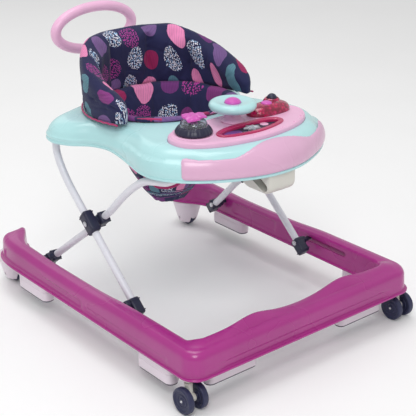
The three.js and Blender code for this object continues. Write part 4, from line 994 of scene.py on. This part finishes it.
def toy_window():
    top = PANEL_TOP_Z
    outline = outline_of(WINDOW_HALF, WINDOW_MIDDLE, 0, 110)
    section = rounded([(-1.5, top - 0.5), (-1.5, top + 2.4), (0, top + 3.4), (7, top + 3), (9.4, top + 1.4),
                       (9.8, top - 6.8),
                       (6.4, top - 6.8), (6, top - 0.5), (-1.5, top - 0.5)], 0.6)
    mesh_piece("window_frame", *band(outline, section[:-1]), BEZEL, "tray", "window_bezel",
               slot="crimson_plastic")
    floor = slab(outline_of(WINDOW_HALF, WINDOW_MIDDLE, -2, 90),
                 [(0, top - 10), (0, top - 4), (0.5, top - 3.6)])
    mesh_piece("window_floor_look", *floor, NAVY, "tray", "window_floor")
    swirl = np.array([(-62, -176), (-40, -170), (-22, -180), (-30, -196), (-52, -202), (-64, -192)], float)
    patch = resample(through(swirl, np.linspace(0, 1, 80), True), 60, True)
    mesh_piece("window_patch", *slab(patch, [(0, top - 4), (0, top - 3.3), (0.4, top - 3)]), PURPLE, "tray",
               slot="navy_plastic")
    disc = lathe([(0, top - 4), (9, top - 4), (9, top - 3.3), (8.4, top - 3), (0, top - 3)], (44, -178, 0))
    mesh_piece("window_disc", *disc, PINK, "tray")
    points, faces = [], []
    count = 14
    for level, scale in ((top - 2.8, 0.96), (top - 1, 1.0), (top + 1.6, 0.9)):
        for k in range(count):
            radius = (17 if k % 2 == 0 else 8.5) * scale
            angle = 2 * math.pi * k / count
            points.append((4 + radius * math.cos(angle) * 1.15, -187 + radius * math.sin(angle), level))
    points.append((4, -187, top + 4.4))
    for k in range(count):
        m = (k + 1) % count
        for a in (0, count):
            faces.append((a + k, a + m, a + count + m, a + count + k))
        faces.append((2 * count + k, 2 * count + m, 3 * count))
    faces.append(tuple(range(count)))
    mesh_piece("slider_star", points, faces, SILVER, "slider_figure", "slider_figure", sharp=20)


def dome_toy():
    x, y = DOME_AT
    top = PANEL_TOP_Z + 0.35
    base = rounded([(24, top), (36, top), (38, top + 3), (36.5, top + 7), (33.5, top + 12), (29, top + 16),
                    (24, top + 15),
                    (24, top)], 1.6, 4)
    rings = []
    for k in range(120):
        angle = 2 * math.pi * k / 120
        scallop = 1 + 0.012 * math.cos(24 * angle)
        rings.append([(x + r * scallop * math.cos(angle), y + r * scallop * math.sin(angle), z) for r,
                      z in base[:-1]])
    mesh_piece("dome_base_look", *loft(rings, loop=True), NAVY, "tray", "dome_base")
    seat, radius, squat = top + 16.35, 28, 0.62
    crown = seat + radius * squat
    climb = np.linspace(0, math.acos(5 / radius), 18)
    outer = [(radius * math.cos(a), seat + radius * squat * math.sin(a)) for a in climb]
    inner = [((r * 0.93) if r > 6 else r, seat + (z - seat) * 0.93) for r, z in outer[::-1]]
    shell = [*outer, *inner]
    turn = np.linspace(0, 2 * math.pi, 64, endpoint=False)
    rings = [[(x + r * math.cos(a), y + r * math.sin(a), z) for a in turn] for r, z in shell]
    mesh_piece("clear_dome_look", *loft(rings, loop=True), CLEAR, "tray", "clear_dome", sharp=60)
    stem = lathe(rounded([(0, seat + 3), (9, seat + 3), (7, seat + 7), (4, seat + 10), (4, crown + 3),
                          (0, crown + 3)], 0.8),
                 (x, y, 0), 28)
    rng = np.random.default_rng(5)
    petals = []
    count, rows = 120, 14
    angles = np.linspace(0, 2 * math.pi, count, endpoint=False)
    reach = 15 + 11 * np.abs(np.cos(1.5 * angles + 0.4)) ** 0.7 + 1.2 * np.sin(7 * angles)
    for lift in (4.6, 1.8):
        for k in range(rows):
            s = max(k / (rows - 1), 0.02)
            wave = 1.1 * np.sin(6 * angles + 1) * s + 0.8 * np.sin(10 * angles) * s**2
            z = crown + lift + 1.6 * math.sin(math.pi * s) - 4.6 * s**2.2 + wave
            petals.append(np.column_stack([x + reach * s * np.cos(angles) * 1.05,
                                           y + reach * s * np.sin(angles) * 0.92, z]))
    sheet = loft(petals[:rows] + petals[rows:][::-1])
    mesh_piece("dome_knob_look", *merge(stem, sheet), MAGENTA, "dome_knob", "dome_knob", sharp=60)
    beads = []
    for _ in range(16):
        angle, out = rng.uniform(0, 2 * math.pi), rng.uniform(10, 21)
        r = rng.uniform(2.2, 3.6)
        spot = (x + out * math.cos(angle), y + out * math.sin(angle), seat + r + 0.2)
        beads.append(lathe([(r * math.sin(a), -r * math.cos(a) * 0.8) for a in np.linspace(0, math.pi, 7)],
                           spot, 9))
    mesh_piece("dome_beads", *merge(*beads), SILVER, "tray", sharp=15)
    floor = lathe(rounded([(0, top + 10), (24, top + 10), (24, top + 14), (12, top + 15), (0, top + 15.6)],
                          1.0), (x, y, 0))
    mesh_piece("dome_floor", *floor, NAVY, "tray")


def steering():
    top, y = PANEL_TOP_Z + 0.35, STEERING_Y
    column = rounded([(0, top), (24, top), (24, top + 3), (17, top + 8), (13.5, top + 17), (13, top + 22),
                      (0, top + 22)], 2.5, 5)
    mesh_piece("steering_column_look", *lathe(column, (0, y, 0), 56), PINK, "tray", "steering_column")
    low = top + 22.35
    ring = [(38 + 11 * math.cos(a), low + 11.5 + 9.5 * math.sin(a)) for a in np.linspace(-1.9, 1.75, 30)]
    profile = [(0, low), (19, low), (22, low + 1.2), *ring, (30, low + 20), (24, low + 18.4),
               (19.4, low + 17.8),
               (17.6, low + 17.2), (17.35, low + 16.4), (17.35, low + 10), (0, low + 10)]
    mesh_piece("steering_wheel_look", *lathe(profile, (0, y, 0), 96), MINT, "steering_wheel",
               "steering_wheel")
    press = low + 12.85
    button = rounded([(0, press), (17, press), (17, press + 5), (16.2, press + 7.4), (13, press + 10.6),
                      (11.6, press + 10.6),
                      (10.6, press + 12), (6, press + 13.6), (0, press + 14)], 1.2, 3)
    mesh_piece("horn_button_look", *lathe(button, (0, y, 0), 56), MAGENTA, "horn_button", "horn_button")


def light_toy():
    (cx, cy), top = LIGHT_AT, PANEL_TOP_Z + 0.35
    outline = outline_of([(0, 24), (30, 22), (50, 12), (54, -4), (40, -22), (0, -28)], (0, -2), 0, 90)
    rings = []
    for angle in np.linspace(0, math.pi / 2, 16):
        scale = 1 - 0.62 * (1 - math.cos(angle))
        z = top + 3 + 17 * math.sin(angle)
        rings.append([(cx + px * scale, cy - 2 + (py + 2) * scale, z) for px, py in outline])
    rings.insert(0, [(cx + px, cy + py, top) for px, py in outline])
    cover = mesh_piece("light_cover_look", *loft(rings), CRIMSON, "tray", "light_cover")
    well = lathe([(0, top + 11), (12.4, top + 11), (12.4, top + 30), (0, top + 30)], (cx - 6, cy - 2, 0),
                 40)
    room = BALL_R + 0.6
    ball = [(room * math.sin(a), -room * math.cos(a)) for a in np.linspace(0, math.pi, 24)]
    subtract(cover, well, lathe(ball, BALL_AT, 40))
    smooth_mesh(cover, 30)
    press = top + 13.85
    button = rounded([(0, press), (12, press), (12, press + 5), (10.6, press + 8), (6, press + 10),
                      (0, press + 10.5)], 1.4, 4)
    mesh_piece("music_button_look", *lathe(button, (cx - 6, cy - 2, 0), 44), MAGENTA, "music_button",
               "music_button")
    collar = rounded([(12, 466), (21, 466), (19, 473), (15.4, 478.6), (12.8, 480.6), (11.9, 479.6),
                      (12, 466)], 1.2, 3)
    mesh_piece("ball_collar", *lathe(collar, (*BALL_AT[:2], 0), 48), CRIMSON, "tray", sharp=50)
    profile = [(BALL_R * math.sin(a) * (1 - 0.05 * bump(a, math.pi / 2, 0.09)), -BALL_R * math.cos(a))
               for a in np.linspace(0, math.pi, 60)]
    mesh_piece("roller_ball_look", *lathe(profile, BALL_AT, 48), NAVY, "roller_ball", "roller_ball",
               sharp=60)


def tube_travel(steps):
    """Where the cross tube goes, seen from the tray, as the frame folds."""
    def spin(y, z, angle):
        return np.array((y * math.cos(angle) - z * math.sin(angle),
                         y * math.sin(angle) + z * math.cos(angle)))
    spots = []
    for k in range(steps + 1):
        angle = math.radians(20) * k / steps
        cross = spin(CROSS_Y - BASE_PIVOT_Y, CROSS_Z - PIVOT_Z, angle)
        tube = spin(CROSS_TUBE_Y - BASE_PIVOT_Y, CROSS_TUBE_Z - PIVOT_Z, angle)
        pivot = spin(TRAY_PIVOT_Y - CROSS_Y, TRAY_PIVOT_Z - CROSS_Z, -angle)
        spots.append((TRAY_PIVOT_Y, TRAY_PIVOT_Z) + tube - cross - pivot)
    return np.array(spots)


def height_adjuster():
    outline = [(-140, 432), (-140, 388), (-180, 366), (-214, 347), (-272, 347), (-284, 358), (-284, 402),
               (-272, 416),
               (-252, 432)]
    outline = rounded(outline, 9, 5)
    levels = rounded([(9, -36.6), (3, -35), (0.4, -31), (0, -26), (0, 26), (0.4, 31), (3, 35), (9, 36.6)],
                     3, 4)
    points, faces = slab(outline, levels)
    points = np.asarray(points)[:, [2, 0, 1]]
    piece = mesh_piece("adjuster_look", points, faces, CREAM, "tray", "height_adjuster")
    path = tube_travel(16)
    radius = TUBE_R + 1.6
    step = np.gradient(path, axis=0)
    step /= np.linalg.norm(step, axis=1)[:, None]
    normal = np.stack([-step[:, 1], step[:, 0]], axis=1)

    def cap(spot, start):
        turn = start + np.linspace(math.pi, 0, 10)
        return list(spot + radius * np.stack([np.cos(turn), np.sin(turn)], axis=1))

    first = math.atan2(*normal[0][::-1])
    last = math.atan2(*(-normal[-1])[::-1])
    above = list(path[1:-1] + normal[1:-1] * radius)
    below = list((path[1:-1] - normal[1:-1] * radius)[::-1])
    shape = cap(path[0], first) + above + cap(path[-1], last) + below
    subtract(piece, loft([[(x, y, z) for y, z in shape] for x in (-50, 50)]))
    smooth_mesh(piece, 35)


def top_sockets():
    for side, sign in SIDES:
        x = sign * (OUTER_LEG_X - TUBE_R - 7.35)
        body = block((14, 26, 20), 2.5, Matrix.Translation((x, TRAY_PIVOT_Y - 2, TRAY_PIVOT_Z + 1)))
        pin = round_rod(4, sign * (OUTER_LEG_X - 18), sign * (OUTER_LEG_X + TUBE_R + 1), TRAY_PIVOT_Y,
                        TRAY_PIVOT_Z)
        mesh_piece(f"top_socket_{side}_look", *merge(body, pin), CREAM, "tray", f"top_socket_{side}")


# ---------------------------------------------------------------- push handle


def push_handle():
    turn = np.linspace(0, 2 * math.pi, 128, endpoint=False)
    ring = np.column_stack([HANDLE_HALF_X * np.cos(turn), np.full(128, HANDLE_Y),
                            HANDLE_Z + HANDLE_HALF_Z * np.sin(turn)])
    bend = [bezier([(0, STEM_Y, 446), (0, STEM_Y, 492), (0, HANDLE_Y, HANDLE_Z - HANDLE_HALF_Z)],
                   t) for t in np.linspace(0, 1, 30)]
    stem = [(0, STEM_Y, 406), *bend]
    radii = [STEM_R] * (len(stem) - 8) + list(np.linspace(STEM_R, HANDLE_R + 3, 8))
    piece = mesh_piece("handle_look", *merge(sweep(ring, HANDLE_R, 30, loop=True), sweep(stem, radii, 30)),
                       PINK, "tray",
                       "push_handle")
    fuse(piece, 2.2)
    levels = rounded([(0, 396), (0, 436), (1.4, 439), (5, 440), (6, 440)], 1.6, 4)
    points = slab(rounded_rectangle(24, 17, 8) + (0, STEM_Y), levels)
    collar = lathe(rounded([(STEM_R + 0.6, 438), (STEM_R + 4.5, 438), (STEM_R + 4, 443),
                            (STEM_R + 1.2, 445),
                            (STEM_R + 0.6, 438)], 0.8), (0, STEM_Y, 0), 40)
    mesh_piece("handle_bracket_look", *merge(points, collar), MINT, "tray", "handle_bracket")


def fuse(piece, voxel):
    """Joins a piece's parts into one skin and rounds the corners where they meet."""
    remesh = piece.modifiers.new("fuse", "REMESH")
    remesh.mode = "VOXEL"
    remesh.voxel_size = voxel / 1000
    relax = piece.modifiers.new("relax", "SMOOTH")
    relax.iterations = 8
    relax.factor = 0.5
    apply_modifiers(piece)
    smooth_mesh(piece, 180)


# ---------------------------------------------------------------- seat


SLING_RINGS = np.array([
    (225, 38, 28, 30), (255, 64, 48, 48), (300, 90, 74, 70), (350, 113, 102, 96), (400, 127, 120, 114),
    (440, 132, 128, 120),
], float)
CHANNELS = np.radians((-56, -20, 20, 56))
WRAP_LIMIT = math.radians(SEAT_WRAP)


def seat_plan(angle, half_x, half_front, half_rear, power=OVAL_POWER):
    heading = np.stack([np.sin(angle), SEAT_CENTRE_Y + np.cos(angle)], axis=-1)
    return oval_towards(heading, half_x, half_front, half_rear, power)


def wrap_frame(angle):
    """The wrap's middle, outward direction, half thickness, bottom and height at angles from the rear."""
    outer = seat_plan(angle, SEAT_HALF_X, SEAT_HALF_FRONT, SEAT_HALF_REAR, 2)
    inner = seat_plan(angle, SEAT_HALF_X - SEAT_THICK, SEAT_HALF_FRONT - SEAT_THICK,
                      SEAT_HALF_REAR - SEAT_THICK, 2)
    gap = outer - inner
    half = np.linalg.norm(gap, axis=-1) / 2
    middle = (outer + inner) / 2
    bottom = tray_top(oval_towards(middle, HOLE_HALF_X, HOLE_HALF_FRONT, HOLE_HALF_REAR)[..., 1]) + 2
    fall = np.clip((np.abs(np.degrees(angle)) - 38) / (SEAT_WRAP - 40), 0, 1)
    crest = blend(SEAT_TOP_Z, SEAT_ARM_Z, fall**1.15)
    return middle, gap / (2 * half)[..., None], half, bottom, crest - bottom


def wrap_mesh():
    """The back and arms in one, a little thinner than when it is filled."""
    section = np.array([(1, 0), (1.02, 0.3), (1.04, 0.6), (1.02, 0.82), (0.62, 0.96), (-0.1, 1),
                        (-0.9, 0.97), (-1.5, 0.86),
                        (-1.5, 0.66), (-1.28, 0.42), (-1.3, 0.16), (-1.4, 0.02), (0, -0.01)])
    curve = resample(through(section * (1, 3), np.linspace(0, 1, 400), True), 56, True) / (1, 3)
    rings = []
    for k in np.linspace(-1, 1, 150):
        k = math.copysign(1 - (1 - abs(k)) ** 1.25, k) if abs(k) > 0.9 else k
        angle = k * WRAP_LIMIT
        middle, out, half, bottom, height = wrap_frame(np.array(angle))
        tip = math.sqrt(1 - 0.93 * min(max((abs(k) * SEAT_WRAP - SEAT_WRAP + 13) / 13, 0), 1) ** 2.2)
        height = (height - 4) * (0.35 + 0.65 * tip)
        lean = SEAT_FLARE * curve[:, 1] * height / (SEAT_TOP_Z - TRAY_TOP_REAR_Z)
        spots = middle + out * (curve[:, :1] * (half - 3) * tip + lean[:, None])
        rings.append(np.column_stack([spots, bottom + 2 + curve[:, 1] * height]))
    return loft(rings)


def sling_half(z):
    return [np.interp(z, SLING_RINGS[:, 0], SLING_RINGS[:, k]) for k in (1, 2, 3)]


def sling_mesh():
    """The hanging seat: an outer skin, a rolled brim on the tray, and an inner skin with a back pad."""
    angles = np.linspace(0, 2 * math.pi, 120, endpoint=False)
    brim_z = tray_top(seat_plan(angles, HOLE_HALF_X, HOLE_HALF_FRONT, HOLE_HALF_REAR)[:, 1])
    rear = (0.5 + 0.5 * np.cos(angles)) ** 0.6
    rings = []

    def ring(inset, z):
        half_x, half_front, half_rear = sling_half(np.mean(z))
        plan = np.array([seat_plan(np.array(a), half_x - i, half_front - i, half_rear - i)
                         for a, i in zip(angles, np.broadcast_to(inset, angles.shape))])
        rings.append(np.column_stack([plan, np.broadcast_to(z, angles.shape)]))

    def brim(grow, rise):
        wide = grow + np.where(grow > 0, 11, 0) * rear
        plan = np.array([seat_plan(np.array(a), HOLE_HALF_X + g, HOLE_HALF_FRONT + g, HOLE_HALF_REAR + g)
                         for a, g in zip(angles, wide)])
        rings.append(np.column_stack([plan, brim_z + rise * (1 + 0.7 * rear * (rise > 3))]))

    for z in np.linspace(225, 428, 26):
        ring(0.0, z)
    brim(-5.5, -9)
    for grow, rise in ((-4, -1), (2, 1.2), (9, 1.0), (11, 3.4), (9, 6.4), (3, 8), (-4, 7), (-9, 2),
                       (-11, -6)):
        brim(grow, rise)
    for z in np.linspace(424, 234, 26):
        ring(7 + 8 * rear * float(bump(z, 388, 44)) + 2 * float(bump(z, 300, 30)), z)
    return loft(rings)


def leg_hole_axis(sign):
    start = np.array((0, 72, 318), float)
    end = np.array((sign * 200, -98, 318), float)
    return start, end


def fill_with_air(piece, voxel, pressure, limit, pinned):
    """Swells a skin as stuffing does: cloth under pressure, held where it is sewn, its travel limited."""
    remesh = piece.modifiers.new("even", "REMESH")
    remesh.mode = "VOXEL"
    remesh.voxel_size = voxel / 1000
    apply_modifiers(piece)
    start = points_of(piece)
    group = piece.vertex_groups.new(name="sewn")
    weights = pinned(start * 1000)
    for index in np.nonzero(weights > 0.5)[0]:
        group.add([int(index)], 1.0, "REPLACE")
    cloth = piece.modifiers.new("stuffing", "CLOTH")
    cloth.settings.use_pressure = True
    cloth.settings.uniform_pressure_force = pressure
    cloth.settings.effector_weights.gravity = 0
    cloth.settings.vertex_group_mass = "sewn"
    cloth.settings.tension_stiffness = 12
    cloth.settings.compression_stiffness = 12
    cloth.settings.bending_stiffness = 0.15
    cloth.settings.quality = 5
    for number in range(1, STUFFING_FRAMES + 1):
        bpy.context.scene.frame_set(number)
        bpy.context.view_layer.update()
    apply_modifiers(piece)
    bpy.context.scene.frame_set(1)
    travel = points_of(piece) - start
    length = np.linalg.norm(travel, axis=1)[:, None]
    travel *= np.minimum(1, limit / 1000 / np.maximum(length, 1e-9))
    place_points(piece, start + travel)


def points_of(piece):
    out = np.empty(len(piece.data.vertices) * 3)
    piece.data.vertices.foreach_get("co", out)
    return out.reshape(-1, 3)


def place_points(piece, points):
    piece.data.vertices.foreach_set("co", np.ascontiguousarray(points, float).ravel())
    piece.data.update()


def normals_of(piece):
    out = np.empty(len(piece.data.vertices) * 3)
    piece.data.vertices.foreach_get("normal", out)
    return out.reshape(-1, 3)


def finer(piece, levels=1):
    sub = piece.modifiers.new("finer", "SUBSURF")
    sub.levels = levels
    sub.render_levels = levels
    apply_modifiers(piece)


def seat_angle(points):
    return np.arctan2(points[:, 0], points[:, 1] - SEAT_CENTRE_Y)


def wrap_place(points):
    """How far round the cloth each point is, how far up and over, its side, rise and full height."""
    angle = seat_angle(points)
    middle, out, half, bottom, height = wrap_frame(np.clip(angle, -WRAP_LIMIT, WRAP_LIMIT))
    rise = np.clip(points[:, 2] - bottom, 0, None)
    lean = SEAT_FLARE * rise / (SEAT_TOP_Z - TRAY_TOP_REAR_Z)
    side = np.einsum("ij,ij->i", points[:, :2] - middle, out) - lean
    side = np.clip(1.7 * side / half, -1, 1)
    up = height + half - side * (height + half - rise)
    return angle * 175, up, side, rise, height


def groove(distance, width, depth):
    return -depth * np.exp(-((distance / width) ** 2))


def wrinkle_wrap(piece):
    """Seams, tufting and the short creases where the arms bend, cut into the filled cloth."""
    points = points_of(piece) * 1000
    round_to, up, side, rise, height = wrap_place(points)
    angle = seat_angle(points)
    push = np.zeros(len(points))
    inner = smooth(0.1, 0.6, -side)
    for channel in CHANNELS:
        push += inner * groove((angle - channel) * 175, 4.5, 4.0) * (1 - smooth(0.8, 0.97, rise / height))
    push += inner * groove(rise - 4, 7, 5)
    rng = np.random.default_rng(11)
    outer = smooth(-0.2, 0.5, side)
    for _ in range(46):
        sign = rng.choice((-1, 1))
        where = sign * rng.uniform(62, 112)
        along_u, along_v = math.radians(where) * 175, rng.uniform(6, 74)
        length, width, depth = rng.uniform(12, 34), rng.uniform(1.8, 3.4), rng.uniform(0.9, 2.6)
        slope = rng.uniform(-0.35, 0.35)
        du, dv = round_to - along_u, rise - along_v
        push += outer * groove(dv - slope * du, width, depth) * np.exp(-((du / length) ** 4))
    for _ in range(26):
        along_u, along_v = rng.uniform(-1, 1) * 320, rng.uniform(15, 110)
        length, width, depth = rng.uniform(18, 40), rng.uniform(2.4, 4.5), rng.uniform(0.6, 1.6)
        slope = rng.uniform(-2.5, 2.5)
        du, dv = round_to - along_u, rise - along_v
        push += groove((dv - slope * du) / math.hypot(1, slope), width,
                       depth) * np.exp(-((np.hypot(du, dv) / length) ** 4))
    push += 0.8 * np.sin(round_to / 23 + 1.3 * np.sin(up / 31)) * np.sin(up / 19 + round_to / 57)
    place_points(piece, (points + normals_of(piece) * push[:, None]) / 1000)


def mark_cloth(piece, across, up):
    attribute = piece.data.attributes.new("cloth_place", "FLOAT_VECTOR", "POINT")
    values = np.column_stack([across, up, np.zeros(len(across))]) / 1000
    attribute.data.foreach_set("vector", values.astype(np.float32).ravel())


def seat_back():
    piece = mesh_piece("seat_wrap", *wrap_mesh(), CLOTH, "tray", "seat_back", sharp=180)

    def sewn(points):
        _, _, side, rise, height = wrap_place(points)
        angle = seat_angle(points)
        near = np.min(np.abs(angle[:, None] - CHANNELS), axis=1) * 175
        channel = (side < -0.3) & (near < 3.2) & (rise < height * 0.85)
        return (channel | (rise < 5)).astype(float)

    fill_with_air(piece, 5.0, 4.0, 7.0, sewn)
    finer(piece)
    wrinkle_wrap(piece)
    across, up, _, _, _ = wrap_place(points_of(piece) * 1000)
    mark_cloth(piece, across, up)
    finish_piece(piece, CLOTH, "tray", "seat_back", 180)


def seat_sling():
    piece = mesh_piece("seat_pad", *sling_mesh(), CLOTH, "tray", "seat_sling", sharp=180)
    for _, sign in SIDES:
        start, end = leg_hole_axis(sign)
        subtract(piece, sweep([start, end], 46, 48))

    def sewn(points):
        angle = seat_angle(points)
        near = np.abs(np.sin((angle - CHANNELS[2]) * 4.5)) * 30
        half_x, half_front, half_rear = sling_half(points[:, 2])
        reach = np.linalg.norm(points[:, :2] - seat_plan(angle, half_x, half_front, half_rear), axis=1)
        is_inner = reach > 4
        z = points[:, 2]
        channel = is_inner & (near < 3) & (z < 430) & (z > 260) & (np.abs(angle) < 1.9)
        outside = ~is_inner & (z > 300)
        return (channel | outside).astype(float)

    fill_with_air(piece, 4.2, 3.0, 5.0, sewn)
    finer(piece)
    points = points_of(piece) * 1000
    angle = seat_angle(points)
    push = np.zeros(len(points))
    for channel in np.radians((-100, -60, -20, 20, 60, 100)):
        push += groove((angle - channel) * 110, 4,
                       3.2) * (1 - smooth(415, 435, points[:, 2])) * (points[:, 2] > 236)
    push += 0.9 * np.sin(angle * 14 + points[:, 2] / 17) * np.sin(points[:, 2] / 23 + angle * 3)
    place_points(piece, (points + normals_of(piece) * push[:, None]) / 1000)
    points = points_of(piece) * 1000
    low = 1 - smooth(238, 262, points[:, 2])
    across = blend(angle * 118, points[:, 0], low)
    up = blend(points[:, 2] + 900, points[:, 1] + 900, low)
    mark_cloth(piece, across, up)
    finish_piece(piece, CLOTH, "tray", "seat_sling", 180)


def piping():
    cords = []
    for _, sign in SIDES:
        angles = sign * np.radians(np.linspace(34, SEAT_WRAP - 4, 70))
        middle, out, half, bottom, _ = wrap_frame(angles)
        spots = middle + out * (half + 1.2)[:, None]
        cords.append(sweep(np.column_stack([spots, bottom + 3.2 + 0.6 * np.sin(angles * 60)]), 2.0, 10))
        angles = np.radians(np.linspace(-137, -117, 36) if sign < 0 else np.linspace(97, 112, 36))
        plan = seat_plan(angles, HOLE_HALF_X + 10, HOLE_HALF_FRONT + 10, HOLE_HALF_REAR + 10)
        height = tray_top(plan[:, 1]) + 5.2 + 0.7 * np.sin(angles * 22)
        cords.append(sweep(np.column_stack([plan, height]), 3.2, 12, scale=1.3))
        cords.append(leg_hole_edge(sign))
    mesh_piece("seat_piping", *merge(*cords), PIPING, "tray", slot="seat_fabric", sharp=60)


def leg_hole_edge(sign):
    """The bound edge of a leg hole, where the hole's cylinder meets the sling's outer skin."""
    start, end = leg_hole_axis(sign)
    axis = (end - start) / np.linalg.norm(end - start)
    side = np.cross(axis, (0, 0, 1))
    turn = np.linspace(0, 2 * math.pi, 110, endpoint=False)
    path = []
    for a in turn:
        offset = 46 * (side * math.cos(a) + np.array((0, 0, 1.0)) * math.sin(a))
        reach = np.linspace(20, 170, 151)
        line = start + offset + axis * reach[:, None]
        half_x, half_front, half_rear = sling_half(line[:, 2])
        edge = seat_plan(seat_angle(line), half_x, half_front, half_rear)
        centre = np.array((0, SEAT_CENTRE_Y))
        out = np.linalg.norm(line[:, :2] - centre, axis=1) - np.linalg.norm(edge - centre, axis=1)
        k = int(np.argmax(out > -3))
        path.append(line[k] + axis * (1.6 + 1.5 * math.sin(a * 15)))
    return sweep(path, 3.0, 12, loop=True)


# ---------------------------------------------------------------- room


def studio():
    bpy.ops.mesh.primitive_plane_add(size=14, location=(0, 0, 0))
    floor = bpy.context.object
    floor.name = "floor"
    n = Nodes("floor", 0xFFFFFF, 0.62)
    n.put("Roughness", n.ramp(n.noise(3.0), 0.3, 0.7, 0.55, 0.7))
    floor.data.materials.append(n.material)
    world = bpy.data.worlds.new("studio")
    world.use_nodes = True
    world.node_tree.nodes["Background"].inputs["Color"].default_value = (1, 1, 1, 1)
    world.node_tree.nodes["Background"].inputs["Strength"].default_value = 0.6
    bpy.context.scene.world = world
    for name, spot, size, power in (
        ("key", (-1.7, -2.0, 2.8), 1.3, 34),
        ("fill", (2.6, -1.2, 1.8), 1.8, 2),
        ("top", (-0.1, 0.3, 3.2), 1.6, 25),
        ("back", (0.4, 2.6, 2.0), 1.6, 5),
    ):
        data = bpy.data.lights.new(name, "AREA")
        data.size = size
        data.energy = power
        light = bpy.data.objects.new(name, data)
        light.location = spot
        light.rotation_euler = (Vector(spot) - Vector((0, 0, 0.3))).to_track_quat("Z", "Y").to_euler()
        bpy.context.scene.collection.objects.link(light)


def dress_cad(node, material):
    """A CAD node that stays as it is, with its material swapped."""
    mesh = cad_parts[node].data
    mesh.materials.clear()
    mesh.materials.append(material)


base_shell()
stop_blocks()
casters()
rear_wheels()
legs()
tray_shell()
bumper_panel()
toy_panel()
toy_window()
dome_toy()
steering()
light_toy()
height_adjuster()
top_sockets()
push_handle()
seat_back()
seat_sling()
piping()
for hidden in ("battery_box", "battery_lid"):
    dress_cad(hidden, CASE)
studio()
